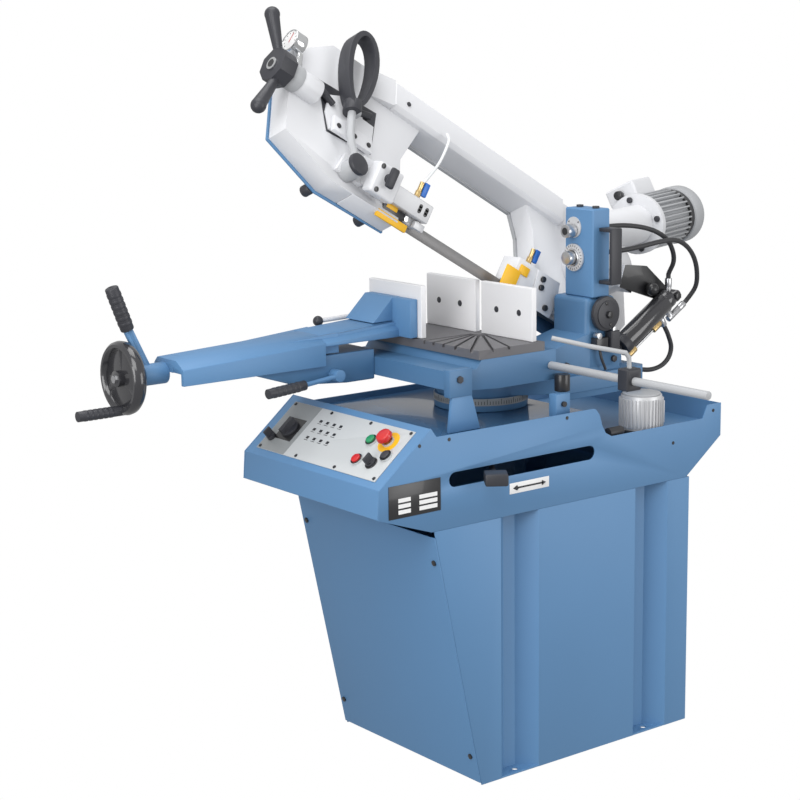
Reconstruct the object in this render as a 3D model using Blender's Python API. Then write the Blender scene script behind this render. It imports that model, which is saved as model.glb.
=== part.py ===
"""Band saw with a tilting bow: metres, +Z up, origin on the floor under the cabinet centre."""
import math

import bmesh
import bpy
from mathutils import Matrix, Vector

# Clearances
GAP = 0.0003
SHEET = 0.003
LAP = 0.0005

# Cabinet
CAB_X = 0.337
CAB_Y = 0.263
CAB_TOP = 0.6265
FRONT_RUN = 0.129
FRONT_RISE = 0.610
PANEL_T = 0.004
RECESS_DEPTH = 0.040
RECESS_FRONT = (-0.273, -0.157)
RECESS_REAR = (0.153, 0.263)
TAB_T = 0.004

# Tray and control box
TRAY_LOW = 0.627
TRAY_FLOOR = 0.742
TRAY_EDGE_Z = 0.715
DECK_Z = 0.822
DECK_END_X = 0.030
SPINDLE_R = 0.060
SPINDLE_LOW = 0.690
TRAY_BACK_X = -0.457
TRAY_END_X = 0.446
TRAY_WALL_TOP = 0.839
TRAY_NOTCH_Z = 0.765
TRAY_END_Z = 0.797
BOX_FOOT = (-0.621, 0.678)
BOX_NOSE = (-0.616, 0.743)
BOX_PEAK = (-0.473, 0.860)
BOX_LOW = (-0.472, 0.629)
SLOT_X = (-0.423, 0.018)
SLOT_Z = 0.736
SLOT_R = 0.017

# Control plate, sizes along the slope and across the machine
PLATE_RUN = (0.018, 0.166)
PLATE_HALF = 0.230
PLATE_T = 0.002
BEZEL_R = 0.0148
BEZEL_BORE = 0.0118
BEZEL_H = 0.0075
CAP_R = 0.0112
CAP_LOW = 0.0058
CAP_HIGH = 0.0125
ESTOP_AT = (0.123, -0.176)
START_AT = (0.115, -0.123)
STOP_AT = (0.058, -0.127)
SELECT_AT = (0.060, -0.176)
FEED_AT = (0.086, -0.205)
SWITCH_AT = (0.089, 0.168)
SPEED_AT = (0.055, 0.205)

# Turntable, table and vise
AXIS_X = -0.094
AXIS_Y = 0.017
RING_R = 0.113
RING_TOP = 0.8582
COLLAR_R = 0.078
COLLAR_Z = (0.729, 0.743)
DISC_R = 0.108
DISC_TOP = 0.8985
PIN_R = 0.030
TABLE_TOP = 0.998
TABLE_T = 0.021
TABLE_X = (-0.269, -0.070)
TABLE_Y = (-0.185, 0.217)
BEAM_X = (-0.350, -0.035)
BEAM_Y = (-0.185, 0.235)
BEAM_LOW = 0.9055
JAW_T = 0.015
JAW_H = 0.126
JAW_TOP = TABLE_TOP + JAW_H
JAW_GAP = 0.0105
VISE_Y = 0.167
VISE_DROP = 0.022
VISE_Z = TABLE_TOP - VISE_DROP
VISE_TRAVEL = 0.143
LEVER_HUB_R = 0.024
HUB_CLEAR = 0.004
ARM_LEFT = -0.881
ARM_STEP = -0.452
ARM_RIGHT = -0.263
JAW_FACE_X = -0.2475

# Head: pivot, tilt, bow plane
PIVOT = (0.140, 0.017, 1.040)
HEAD_RAISED = math.radians(30.1)
BOW_LEAN = math.radians(30.0)
BLADE_DROP = 0.030
WHEEL_R = 0.160
WHEEL_W = 0.027
WHEEL_SIDES = 48
IDLER_U = -0.735
DRIVE_U = 0.100
WHEEL_CLEAR = 0.008
HOLLOW_R = WHEEL_R + WHEEL_CLEAR
CASE_RIM = 0.020
CASE_END_U = IDLER_U - WHEEL_R - CASE_RIM
CASE_WALL = 0.006
CASE_FRONT = 0.024
CASE_BACK = -0.030
BOW_BEAM_V = (2 * WHEEL_R - 0.052, 2 * WHEEL_R + 0.030)
BOW_BEAM_FRONT = 0.045
BOW_BEAM_WALL = 0.007
COVER_T = 0.006
COVER_LIP = 0.005
TENSION_W = 0.040
TENSION_U = (CASE_END_U - 0.026, CASE_END_U - 0.066)
TENSION_HUB_R = 0.041
TENSION_REACH = 0.120
HANDLE_W = (0.042, 0.078)
BLADE_T = 0.0009
GUIDE_LEFT_U = (-0.560, -0.500)
GUIDE_RIGHT_U = (-0.190, -0.135)
TWIST_RUN = 0.090
MOTOR_TURN = math.radians(35.5)
MOTOR_OFFSET = 0.0757
MOTOR_W = 0.125
MOTOR_R = 0.064
FLANGE_R = 0.078
FLANGE_X = (0.187, 0.203)
MOTOR_END = 0.376
FAN_END = 0.429

# Valve post and cylinder
POST_X = (0.105, 0.161)
POST_Y = (-0.160, -0.063)
POST_FOOT = 1.079
POST_TOP = 1.290
COLUMN_X = (0.092, 0.188)
COLUMN_Y = (-0.155, -0.032)
PIVOT_BORE = 0.0158
PIVOT_R = 0.0150
RAM_Y = -0.085
RAM_LOW = (0.238, 0.914)
RAM_HIGH_LOCAL = (0.263, 0.160)
RAM_R = 0.0220

# Hoses: radius, stub they plug on, and their routes
HOSE_R = 0.006
STUB_R = 0.008
STUB = 0.014
POST_PORTS = ((-0.112, 1.240), (-0.112, 1.178))
ARM_PORT = (-0.070, 0.8785)
ARM_END = 0.285
UPPER_AT = 0.012
UPPER_STUB = 0.040
LOWER_AT = 0.030
LOWER_STUB = 0.046
CRIMP = 0.045
DRAIN_AT = 0.060
DRAIN_STUB = 0.040
LEAD = 0.0195
UPPER_ROUTE = ((0.250, -0.116, 1.239), (0.305, -0.123, 1.231), (0.352, -0.127, 1.216),
               (0.392, -0.124, 1.193),
               (0.420, -0.116, 1.162), (0.435, -0.104, 1.132))
LOWER_ROUTE = ((0.250, -0.121, 1.180), (0.300, -0.134, 1.187), (0.350, -0.143, 1.194),
               (0.398, -0.146, 1.194),
               (0.440, -0.143, 1.176), (0.475, -0.135, 1.145), (0.501, -0.122, 1.106),
               (0.515, -0.105, 1.064))
DRAIN_ROUTE = ((0.440, -0.085, 0.945), (0.453, -0.083, 0.914), (0.447, -0.080, 0.886),
               (0.424, -0.076, 0.867),
               (0.388, -0.072, 0.861), (0.342, -0.070, 0.869))

# Colours
BLUE = (0.105, 0.235, 0.430)
WHITE = (0.800, 0.810, 0.830)
DARK = (0.060, 0.063, 0.070)
STEEL = (0.500, 0.510, 0.530)
PALE = (0.620, 0.630, 0.640)
RED = (0.600, 0.020, 0.020)
GREEN = (0.020, 0.350, 0.080)
YELLOW = (0.850, 0.450, 0.010)

for old in list(bpy.data.objects):
    bpy.data.objects.remove(old, do_unlink=True)

PARTS = bpy.data.collections.new("Band saw")
bpy.context.scene.collection.children.link(PARTS)


def link(obj, parent=None):
    """Put an object in the parts collection under an optional parent."""
    PARTS.objects.link(obj)
    obj.parent = parent
    return obj


def from_bmesh(name, bm, parent=None):
    """Make an object from a bmesh."""
    bmesh.ops.recalc_face_normals(bm, faces=bm.faces)
    mesh = bpy.data.meshes.new(name)
    bm.to_mesh(mesh)
    bm.free()
    return link(bpy.data.objects.new(name, mesh), parent)


def block(name, lo, hi, parent=None, bevel=0.0, steps=1):
    """Box between two corners with optional rounded edges."""
    lo = Vector(lo)
    hi = Vector(hi)
    bm = bmesh.new()
    place = Matrix.Translation((lo + hi) / 2) @ Matrix.Diagonal((*(hi - lo), 1.0))
    bmesh.ops.create_cube(bm, size=1.0, matrix=place)
    if bevel:
        bmesh.ops.bevel(bm, geom=list(bm.edges), offset=bevel, segments=steps,
                        affect="EDGES", profile=0.5)
    return from_bmesh(name, bm, parent)


def hexa(name, left_x, left_yz, right_x, right_yz, parent=None):
    """Tapered box along X between two sections (y0, y1, z0, z1)."""
    bm = bmesh.new()
    bmesh.ops.create_cube(bm, size=2.0)
    for vert in bm.verts:
        y0, y1, z0, z1 = left_yz if vert.co.x < 0 else right_yz
        x = left_x if vert.co.x < 0 else right_x
        vert.co = Vector((x, y0 if vert.co.y < 0 else y1, z0 if vert.co.z < 0 else z1))
    return from_bmesh(name, bm, parent)


def rod(name, start, end, radius, parent=None, segs=24, radius_end=None):
    """Cylinder or cone between two points."""
    start = Vector(start)
    end = Vector(end)
    run = end - start
    turn = Vector((0, 0, 1)).rotation_difference(run).to_matrix().to_4x4()
    place = Matrix.Translation((start + end) / 2) @ turn
    bm = bmesh.new()
    bmesh.ops.create_cone(bm, cap_ends=True, segments=segs, radius1=radius,
                          radius2=radius if radius_end is None else radius_end,
                          depth=run.length, matrix=place)
    return from_bmesh(name, bm, parent)


def ball(name, centre, radius, parent=None):
    """Sphere."""
    bm = bmesh.new()
    bmesh.ops.create_uvsphere(bm, u_segments=20, v_segments=12, radius=radius,
                              matrix=Matrix.Translation(centre))
    return from_bmesh(name, bm, parent)


def to_mesh(curve_obj, name, parent):
    """Turn a curve object into a clean mesh object."""
    graph = bpy.context.evaluated_depsgraph_get()
    mesh = bpy.data.meshes.new_from_object(curve_obj.evaluated_get(graph))
    bpy.data.objects.remove(curve_obj, do_unlink=True)
    bm = bmesh.new()
    bm.from_mesh(mesh)
    bpy.data.meshes.remove(mesh)
    bmesh.ops.remove_doubles(bm, verts=bm.verts, dist=0.00001)
    return from_bmesh(name, bm, parent)


AXES = {
    "Z": Matrix.Identity(4),
    "Y": Matrix(((1, 0, 0, 0), (0, 0, -1, 0), (0, 1, 0, 0), (0, 0, 0, 1))),
    "X": Matrix(((0, 0, 1, 0), (1, 0, 0, 0), (0, 1, 0, 0), (0, 0, 0, 1))),
}


def prism(name, outline, lo, hi, axis="Z", parent=None, holes=()):
    """Flat outline with holes, drawn across an axis and given thickness along it."""
    curve = bpy.data.curves.new(name, "CURVE")
    curve.dimensions = "2D"
    curve.fill_mode = "BOTH"
    curve.extrude = (hi - lo) / 2
    for loop in (outline, *holes):
        spline = curve.splines.new("POLY")
        spline.points.add(len(loop) - 1)
        for point, (a, b) in zip(spline.points, loop):
            point.co = (a, b, 0.0, 1.0)
        spline.use_cyclic_u = True
    obj = link(bpy.data.objects.new(name, curve))
    bpy.context.view_layer.update()
    solid = to_mesh(obj, name, parent)
    mid = (lo + hi) / 2
    shift = {"X": (mid, 0, 0), "Y": (0, mid, 0), "Z": (0, 0, mid)}[axis]
    solid.data.transform(Matrix.Translation(shift) @ AXES[axis])
    return solid


def tube(name, points, radius, parent=None, closed=False, sides=3):
    """Round bar bent along points."""
    curve = bpy.data.curves.new(name, "CURVE")
    curve.dimensions = "3D"
    curve.bevel_depth = radius
    curve.bevel_resolution = sides
    curve.use_fill_caps = not closed
    spline = curve.splines.new("POLY")
    spline.points.add(len(points) - 1)
    for point, where in zip(spline.points, points):
        point.co = (*where, 1.0)
    spline.use_cyclic_u = closed
    obj = link(bpy.data.objects.new(name, curve))
    bpy.context.view_layer.update()
    return to_mesh(obj, name, parent)


def apply_boolean(obj, other, operation):
    """Apply one exact Boolean and drop the other object."""
    mod = obj.modifiers.new("cut", "BOOLEAN")
    mod.operation = operation
    mod.solver = "EXACT"
    mod.object = other
    bpy.context.view_layer.update()
    graph = bpy.context.evaluated_depsgraph_get()
    mesh = bpy.data.meshes.new_from_object(obj.evaluated_get(graph))
    obj.modifiers.clear()
    old = obj.data
    obj.data = mesh
    bpy.data.meshes.remove(old)
    bpy.data.objects.remove(other, do_unlink=True)
    bm = bmesh.new()
    bm.from_mesh(mesh)
    bmesh.ops.remove_doubles(bm, verts=bm.verts, dist=0.00002)
    bmesh.ops.dissolve_degenerate(bm, edges=bm.edges, dist=0.00002)
    bm.to_mesh(mesh)
    bm.free()


def unite(obj, *others):
    """Boolean union."""
    for other in others:
        apply_boolean(obj, other, "UNION")
    return obj


def carve(obj, *cutters):
    """Boolean difference."""
    for cutter in cutters:
        apply_boolean(obj, cutter, "DIFFERENCE")
    return obj


def finish(obj, colour, rough=0.5, metal=0.0):
    """Give an object its own plain material."""
    mat = bpy.data.materials.new(obj.name)
    mat.use_nodes = True
    shader = mat.node_tree.nodes["Principled BSDF"]
    shader.inputs["Base Color"].default_value = (*colour, 1.0)
    shader.inputs["Roughness"].default_value = rough
    shader.inputs["Metallic"].default_value = metal
    obj.data.materials.clear()
    obj.data.materials.append(mat)
    return obj


def arc(cx, cy, radius, start, end, steps):
    """Points on an arc, angles in degrees."""
    out = []
    for i in range(steps + 1):
        a = math.radians(start + (end - start) * i / steps)
        out.append((cx + radius * math.cos(a), cy + radius * math.sin(a)))
    return out


def front_x(z):
    """Outer face of the sloped cabinet front at a height."""
    return -CAB_X - FRONT_RUN / FRONT_RISE * z


def frame_at(name, where, turn, parent=None):
    """Empty that carries a group."""
    empty = bpy.data.objects.new(name, None)
    link(empty, parent)
    empty.location = where
    empty.rotation_euler = turn
    bpy.context.view_layer.update()
    return empty


def recess_points(span, side, inset):
    """Plan points of one side recess, front to rear."""
    slip = inset * math.tan(math.radians(22.5))
    y = CAB_Y - inset
    deep = CAB_Y - RECESS_DEPTH - inset
    a, b = span
    points = [(a - slip, y), (a + RECESS_DEPTH - slip, deep),
              (b - RECESS_DEPTH + slip, deep), (b + slip, y)]
    return [(px, side * py) for px, py in points]


def wall_points(side, inset):
    """Plan points of one cabinet side, front to rear."""
    start = [(-0.480, side * (CAB_Y - inset))]
    end = [(CAB_X - inset, side * (CAB_Y - inset))]
    near = recess_points(RECESS_FRONT, side, inset)
    return start + near + recess_points(RECESS_REAR, side, inset) + end


def build_cabinet():
    """Folded sheet cabinet, front panel and floor pan."""
    outline = wall_points(-1, 0.0) + wall_points(1, 0.0)[::-1]
    outline += wall_points(1, SHEET) + wall_points(-1, SHEET)[::-1]
    shell = prism("cabinet", outline, 0.0, CAB_TOP)
    for side in (-1, 1):
        for span in (RECESS_FRONT, RECESS_REAR):
            a, b = span
            y_out = side * (CAB_Y - LAP)
            y_in = side * (CAB_Y - RECESS_DEPTH - LAP)
            tab = [(a - LAP, y_out), (a + RECESS_DEPTH, y_in), (b - RECESS_DEPTH, y_in), (b + LAP, y_out)]
            mid = (a + b) / 2
            hole = arc(mid, side * (CAB_Y - RECESS_DEPTH / 2), 0.008, 0, 345, 12)
            unite(shell, prism("tab", tab, 0.0, TAB_T, holes=(hole,)))
    back = PANEL_T + GAP
    lean = [(-0.70, -0.02), (front_x(-0.02) + back, -0.02), (front_x(0.66) + back, 0.66), (-0.70, 0.66)]
    carve(shell, prism("slope", lean, -0.30, 0.30, "Y"))
    finish(shell, BLUE, 0.45)
    low = 0.006
    high = 0.612
    face = [(front_x(low), low), (front_x(low) + PANEL_T, low),
            (front_x(high) + PANEL_T, high), (front_x(high), high)]
    finish(prism("front_panel", face, -CAB_Y, CAB_Y, "Y"), BLUE, 0.45)
    edge = CAB_Y - RECESS_DEPTH - SHEET - GAP
    finish(block("floor_pan", (-CAB_X + 0.01, -edge, 0.0), (CAB_X - SHEET - GAP, edge, 0.003)), BLUE, 0.45)


def tray_profile():
    """Outline of the tray side wall with the control box end."""
    return [BOX_FOOT, BOX_NOSE, BOX_PEAK, (TRAY_BACK_X, TRAY_WALL_TOP), (0.014, TRAY_WALL_TOP),
            (0.022, 0.836), (0.033, 0.822), (0.042, 0.795), (0.053, 0.776), (0.073, TRAY_NOTCH_Z),
            (0.382, TRAY_NOTCH_Z), (0.398, TRAY_END_Z), (TRAY_END_X, TRAY_END_Z),
            (TRAY_END_X, TRAY_EDGE_Z), (0.326, TRAY_LOW), (-0.4735, TRAY_LOW)]


def build_tray():
    """Coolant tray and control box."""
    slot = arc(SLOT_X[0] + SLOT_R, SLOT_Z, SLOT_R, 90, 270, 8)
    slot += arc(SLOT_X[1] - SLOT_R, SLOT_Z, SLOT_R, -90, 90, 8)
    tray = prism("coolant_tray", tray_profile(), -CAB_Y, -CAB_Y + SHEET, "Y", holes=(slot,))
    pan = [(TRAY_BACK_X + SHEET, DECK_Z), (DECK_END_X - SHEET, DECK_Z), (DECK_END_X - SHEET, TRAY_FLOOR),
           (TRAY_END_X - LAP, TRAY_FLOOR), (TRAY_END_X - LAP, TRAY_FLOOR + SHEET),
           (DECK_END_X, TRAY_FLOOR + SHEET),
           (DECK_END_X, DECK_Z + SHEET), (TRAY_BACK_X + SHEET, DECK_Z + SHEET)]
    unite(tray, prism("pan", pan, -CAB_Y + LAP, CAB_Y - LAP, "Y"))
    carve(tray, rod("bore", (AXIS_X, AXIS_Y, 0.70), (AXIS_X, AXIS_Y, 0.90), SPINDLE_R + GAP, segs=48))
    unite(tray, prism("far", tray_profile(), CAB_Y - SHEET, CAB_Y, "Y"))
    unite(tray, block("end", (TRAY_END_X - SHEET, -CAB_Y + LAP, TRAY_EDGE_Z + LAP),
                      (TRAY_END_X - LAP / 2, CAB_Y - LAP, TRAY_END_Z - LAP)))
    finish(tray, BLUE, 0.45)
    inner = CAB_Y - SHEET - GAP
    outer = [BOX_FOOT, BOX_NOSE, BOX_PEAK, (TRAY_BACK_X, TRAY_WALL_TOP), (TRAY_BACK_X, 0.633), BOX_LOW]
    hollow = [(-0.617, 0.6805), (-0.613, 0.7416), (-0.4735, 0.8557), (-0.460, 0.838),
              (-0.460, 0.636), (-0.4715, 0.6325)]
    finish(prism("control_box", outer, -inner, inner, "Y", holes=(hollow,)), BLUE, 0.45)


def build_controls():
    """Control plate with bezels and every control on it."""
    run = Vector((BOX_PEAK[0] - BOX_NOSE[0], 0, BOX_PEAK[1] - BOX_NOSE[1]))
    lean = math.atan2(run.z, run.x)
    slope = frame_at("panel_slope", (BOX_NOSE[0], 0.0, BOX_NOSE[1]), (0.0, -lean, 0.0))
    plate = block("control_plate", (PLATE_RUN[0], -PLATE_HALF, GAP), (PLATE_RUN[1], PLATE_HALF, PLATE_T),
                  slope)
    for x, y in (ESTOP_AT, START_AT, STOP_AT, FEED_AT):
        ring = prism("ring", arc(x, y, BEZEL_R, 0, 345, 23), PLATE_T - LAP, BEZEL_H, parent=slope,
                     holes=(arc(x, y, BEZEL_BORE, 0, 345, 23),))
        unite(plate, ring)
    finish(plate, WHITE, 0.4)
    for name, (x, y), colour in (("start_button", START_AT, GREEN), ("stop_button", STOP_AT, RED),
                                 ("feed_button", FEED_AT, DARK)):
        finish(rod(name, (x, y, CAP_LOW), (x, y, CAP_HIGH), CAP_R, slope), colour, 0.4)
    x, y = ESTOP_AT
    estop = rod("estop_button", (x, y, 0.0080), (x, y, 0.0180), 0.0100, slope)
    unite(estop, rod("head", (x, y, 0.0175), (x, y, 0.0300), 0.0198, slope, 32, 0.0170))
    finish(estop, RED, 0.4)
    for name, (x, y), radius, top in (("selector_knob", SELECT_AT, 0.0125, 0.016),
                                      ("main_switch", SWITCH_AT, 0.0240, 0.014),
                                      ("speed_knob", SPEED_AT, 0.0110, 0.018)):
        knob = rod(name, (x, y, PLATE_T + GAP), (x, y, top * 0.6), radius, slope)
        bar = block("bar", (x - radius * 0.9, y - radius * 0.28, top * 0.5),
                    (x + radius * 0.9, y + radius * 0.28, top * 1.6), slope)
        finish(unite(knob, bar), DARK, 0.5)


def build_table():
    """Turntable base, pin, cross beam, table, jaws, vise bed and fixed hardware."""
    ring = rod("turntable_base", (AXIS_X, AXIS_Y, DECK_Z + SHEET + GAP), (AXIS_X, AXIS_Y, RING_TOP),
               RING_R, segs=48)
    unite(ring, rod("spindle", (AXIS_X, AXIS_Y, SPINDLE_LOW), (AXIS_X, AXIS_Y, RING_TOP - 0.01), SPINDLE_R,
                    segs=48))
    finish(ring, BLUE, 0.45)
    reach = Vector((-0.320 - AXIS_X, -0.300 - AXIS_Y, 0.0))
    way = reach.normalized()
    mid = (COLLAR_Z[0] + COLLAR_Z[1]) / 2
    hub = Vector((AXIS_X, AXIS_Y, mid))
    lever = prism("swivel_lock_lever", arc(AXIS_X, AXIS_Y, COLLAR_R, 0, 352.5, 47), *COLLAR_Z,
                  holes=(arc(AXIS_X, AXIS_Y, SPINDLE_R + GAP * 3, 0, 352.5, 47),))
    unite(lever, rod("bar", hub + way * (COLLAR_R - 0.006), hub + reach, 0.0060, segs=16))
    unite(lever, ball("grip", hub + reach, 0.0125))
    finish(lever, STEEL, 0.4, 1.0)
    under = TABLE_TOP - TABLE_T - GAP
    side = [(BEAM_X[0], 0.915), (-0.210, BEAM_LOW), (BEAM_X[1], BEAM_LOW), (BEAM_X[1], under),
            (-0.262, under),
            (-0.276, 0.958), (BEAM_X[0], 0.958)]
    beam = prism("cross_beam", side, *BEAM_Y, axis="Y")
    pin = rod("pin", (AXIS_X, AXIS_Y, RING_TOP + GAP), (AXIS_X, AXIS_Y, BEAM_LOW + PANEL_T), PIN_R)
    finish(unite(beam, pin), BLUE, 0.5)
    table = block("saw_table", (TABLE_X[0], TABLE_Y[0], TABLE_TOP - TABLE_T),
                  (TABLE_X[1], TABLE_Y[1], TABLE_TOP), bevel=0.002)
    finish(table, DARK, 0.5, 0.4)
    for name, y0, y1 in (("fixed_jaw_near", -0.176, AXIS_Y - JAW_GAP),
                         ("fixed_jaw_far", AXIS_Y + JAW_GAP, 0.214)):
        finish(block(name, (AXIS_X - JAW_T / 2, y0, TABLE_TOP + GAP), (AXIS_X + JAW_T / 2, y1, JAW_TOP),
                     bevel=0.0015), PALE, 0.4, 0.6)
    low = BEAM_LOW
    top = TABLE_TOP - TABLE_T - GAP
    bed = [(-0.775, top), (BEAM_X[0] - GAP, top), (BEAM_X[0] - GAP, low), (-0.430, low), (-0.580, 0.918),
           (-0.700, 0.957), (-0.775, 0.970)]
    slab = prism("vise_bed", bed, 0.100, 0.232, "Y")
    wide = LEVER_HUB_R + HUB_CLEAR
    carve(slab, block("hub_way", (bed[0][0] - 0.02, VISE_Y - wide, low - 0.02),
                      (ARM_LEFT + VISE_TRAVEL + HUB_CLEAR, VISE_Y + wide, top + 0.02)))
    finish(slab, BLUE, 0.5)
    post = rod("support_post", (-0.330, -0.195, 0.8000), (-0.318, -0.200, 0.9700), 0.0190)
    carve(post, block("cut_low", (-0.5, -0.3, 0.6), (-0.1, 0.0, DECK_Z + SHEET + GAP)))
    carve(post, block("cut_side", (-0.5, BEAM_Y[0] - GAP, 0.6), (-0.1, 0.0, 1.1)))
    finish(post, BLUE, 0.5)
    finish(rod("stop_rod", (-0.052, -0.684, 0.940), (-0.052, BEAM_Y[0] - GAP, 0.940), 0.0095), STEEL, 0.3,
           1.0)
    clamp = block("stop_clamp", (-0.074, -0.462, 0.918), (-0.030, -0.428, 0.968), bevel=0.003)
    carve(clamp, rod("bore", (-0.052, -0.50, 0.940), (-0.052, -0.38, 0.940), 0.0098))
    finger = tube("finger", [(-0.052, -0.445, 0.9640), (-0.054, -0.445, 0.992), (-0.064, -0.445, 1.004),
                                  (-0.130, -0.400, 1.020), (-0.190, -0.340, 1.038)], 0.0055)
    finish(unite(clamp, finger), DARK, 0.5)
    pump = rod("pump_motor", (0.237, -0.195, TRAY_FLOOR + SHEET + GAP), (0.237, -0.195, 0.836), 0.050,
               segs=32)
    finish(unite(pump, block("lid", (0.275, -0.215, 0.760), (0.298, -0.175, 0.815))), PALE, 0.4, 0.6)


def build_vise():
    """Sliding vise arm with jaw, handwheel and levers."""
    low = TABLE_TOP - TABLE_T + 0.0025
    top = TABLE_TOP
    arm = hexa("vise_arm", ARM_LEFT, (0.132, 0.202, low, top + 0.001),
               ARM_STEP, (0.102, 0.230, low, top + 0.027))
    nose = hexa("nose", ARM_STEP - 0.02, (0.1035, 0.2285, top + 0.0025, top + 0.024),
                ARM_RIGHT, (0.102, 0.230, top + 0.0025, top + 0.037))
    finish(unite(arm, nose), BLUE, 0.5)
    gusset = [(ARM_RIGHT, top + 0.0378), (ARM_RIGHT, top + 0.094), (-0.285, top + 0.094),
              (-0.345, top + 0.0372)]
    finish(prism("jaw_block", gusset, 0.112, 0.222, "Y"), BLUE, 0.5)
    finish(block("moving_jaw", (ARM_RIGHT + GAP, 0.032, TABLE_TOP + 0.001), (JAW_FACE_X, 0.235, JAW_TOP),
                 bevel=0.0015), PALE, 0.4, 0.6)
    axis = Vector((0.0, VISE_Y, VISE_Z))
    hub = rod("clamp_lever", axis + Vector((-0.940, 0, 0)), axis + Vector((ARM_LEFT - GAP, 0, 0)),
              LEVER_HUB_R)
    unite(hub, rod("bar", axis + Vector((-0.925, 0, 0.012)), axis + Vector((-0.972, 0, 0.110)), 0.007))
    unite(hub, rod("grip", axis + Vector((-0.969, 0, 0.104)), axis + Vector((-1.005, 0, 0.200)), 0.0125))
    finish(hub, DARK, 0.45)
    wheel = rod("handwheel", axis + Vector((-1.004, 0, 0)), axis + Vector((-0.940 - GAP, 0, 0)), 0.018)
    rim = [axis + Vector((-0.986, 0.071 * math.cos(a), 0.071 * math.sin(a)))
           for a in (math.tau * i / 40 for i in range(40))]
    for turn in (90, 210, 330):
        a = math.radians(turn)
        out = Vector((0, math.cos(a), math.sin(a)))
        unite(wheel, rod("spoke", axis + Vector((-0.982, 0, 0)) + out * 0.010,
                         axis + Vector((-0.986, 0, 0)) + out * 0.070, 0.007, segs=12))
    unite(wheel, tube("rim", rim, 0.0095, closed=True))
    grip = axis + Vector((0, 0, -0.071))
    unite(wheel, rod("crank", grip + Vector((-1.100, 0, 0)), grip + Vector((-0.986, 0, 0)), 0.0115))
    finish(wheel, DARK, 0.4)
    lever = rod("lock_lever", (-0.470, 0.0997, 0.930), (-0.470, 0.072, 0.930), 0.014)
    unite(lever, rod("bar", (-0.470, 0.079, 0.930), (-0.580, 0.066, 0.922), 0.0055, segs=16))
    unite(lever, rod("grip", (-0.575, 0.0665, 0.9225), (-0.680, 0.060, 0.916), 0.0115))
    finish(lever, DARK, 0.45)


def build_swivel():
    """Swivel arm, pivot bracket, valve post and its fittings."""
    arm = rod("swivel_arm", (AXIS_X, AXIS_Y, RING_TOP + GAP), (AXIS_X, AXIS_Y, DISC_TOP), DISC_R, segs=48)
    plan = [(AXIS_X, -0.088), (0.020, -0.165), (0.270, -0.165), (ARM_END, -0.150), (ARM_END, 0.0),
            (0.270, 0.030), (0.020, 0.070), (AXIS_X, 0.110)]
    unite(arm, prism("slab", plan, RING_TOP + GAP, DISC_TOP))
    keel = [(0.030, -0.163), (0.268, -0.163), (0.283, -0.148), (0.283, -0.002), (0.030, 0.040)]
    unite(arm, prism("keel", keel, 0.843, RING_TOP + 0.010))
    carve(arm, rod("bore", (AXIS_X, AXIS_Y, 0.80), (AXIS_X, AXIS_Y, 0.95), PIN_R + GAP))
    x, z = RAM_LOW
    cheek = arc(x, z, 0.018, 0, 180, 10) + [(x - 0.018, DISC_TOP - 0.004), (x + 0.018, DISC_TOP - 0.004)]
    unite(arm, prism("lug", cheek, RAM_Y - 0.021, RAM_Y - 0.011, "Y"))
    y, z = ARM_PORT
    unite(arm, rod("stub", (ARM_END - 0.004, y, z), (ARM_END + STUB, y, z), STUB_R, segs=16))
    finish(arm, BLUE, 0.5)
    foot = DISC_TOP + GAP
    x0, x1 = COLUMN_X
    y0, y1 = COLUMN_Y
    bracket = block("pivot_bracket", (x0, y0, foot), (x1, y1, POST_FOOT - GAP), bevel=0.012, steps=3)
    carve(bracket, block("heel", (x0 - 0.1, y0 - 0.1, foot - 0.1), (x1 + 0.1, y1 + 0.1, foot + 0.012)))
    base = [(x0 - 0.100, foot), (x1 + 0.015, foot), (x1, foot + 0.080), (x0 + 0.006, foot + 0.095),
            (x0 - 0.100, foot + 0.070)]
    unite(bracket, prism("base", base, y0 + LAP, y1 - LAP, "Y"))
    carve(bracket, rod("bore", (PIVOT[0], y0 - 0.1, PIVOT[2]), (PIVOT[0], y1 + 0.1, PIVOT[2]), PIVOT_BORE))
    finish(bracket, BLUE, 0.5)
    post = block("valve_post", (POST_X[0], POST_Y[0], POST_FOOT), (POST_X[1], POST_Y[1], POST_TOP),
                 bevel=0.003)
    for y, z in POST_PORTS:
        unite(post, rod("stub", (POST_X[1] - 0.004, y, z), (POST_X[1] + STUB, y, z), STUB_R, segs=16))
    finish(post, BLUE, 0.45)
    face = POST_X[0] - GAP
    small = rod("feed_knob", (face, -0.095, 1.236), (face - 0.022, -0.095, 1.236), 0.0135)
    finish(small, DARK, 0.5)
    dial = rod("speed_dial", (face, -0.098, 1.172), (face - 0.006, -0.098, 1.172), 0.0240, segs=32)
    finish(unite(dial, rod("knob", (face - 0.005, -0.098, 1.172), (face - 0.024, -0.098, 1.172), 0.0145)),
           DARK, 0.5)
    out = POST_Y[0] - GAP
    grip = [(0.140, out, 1.118), (0.140, out - 0.028, 1.118), (0.140, out - 0.036, 1.128),
            (0.140, out - 0.036, 1.226),
            (0.140, out - 0.028, 1.236), (0.140, out, 1.236)]
    finish(tube("post_handle", grip, 0.0090), DARK, 0.5)
    switch = block("limit_switch", (0.150, COLUMN_Y[0] - 0.026, 0.945), (0.178, COLUMN_Y[0] - GAP, 0.998),
                   bevel=0.002)
    finish(switch, DARK, 0.5)


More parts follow.
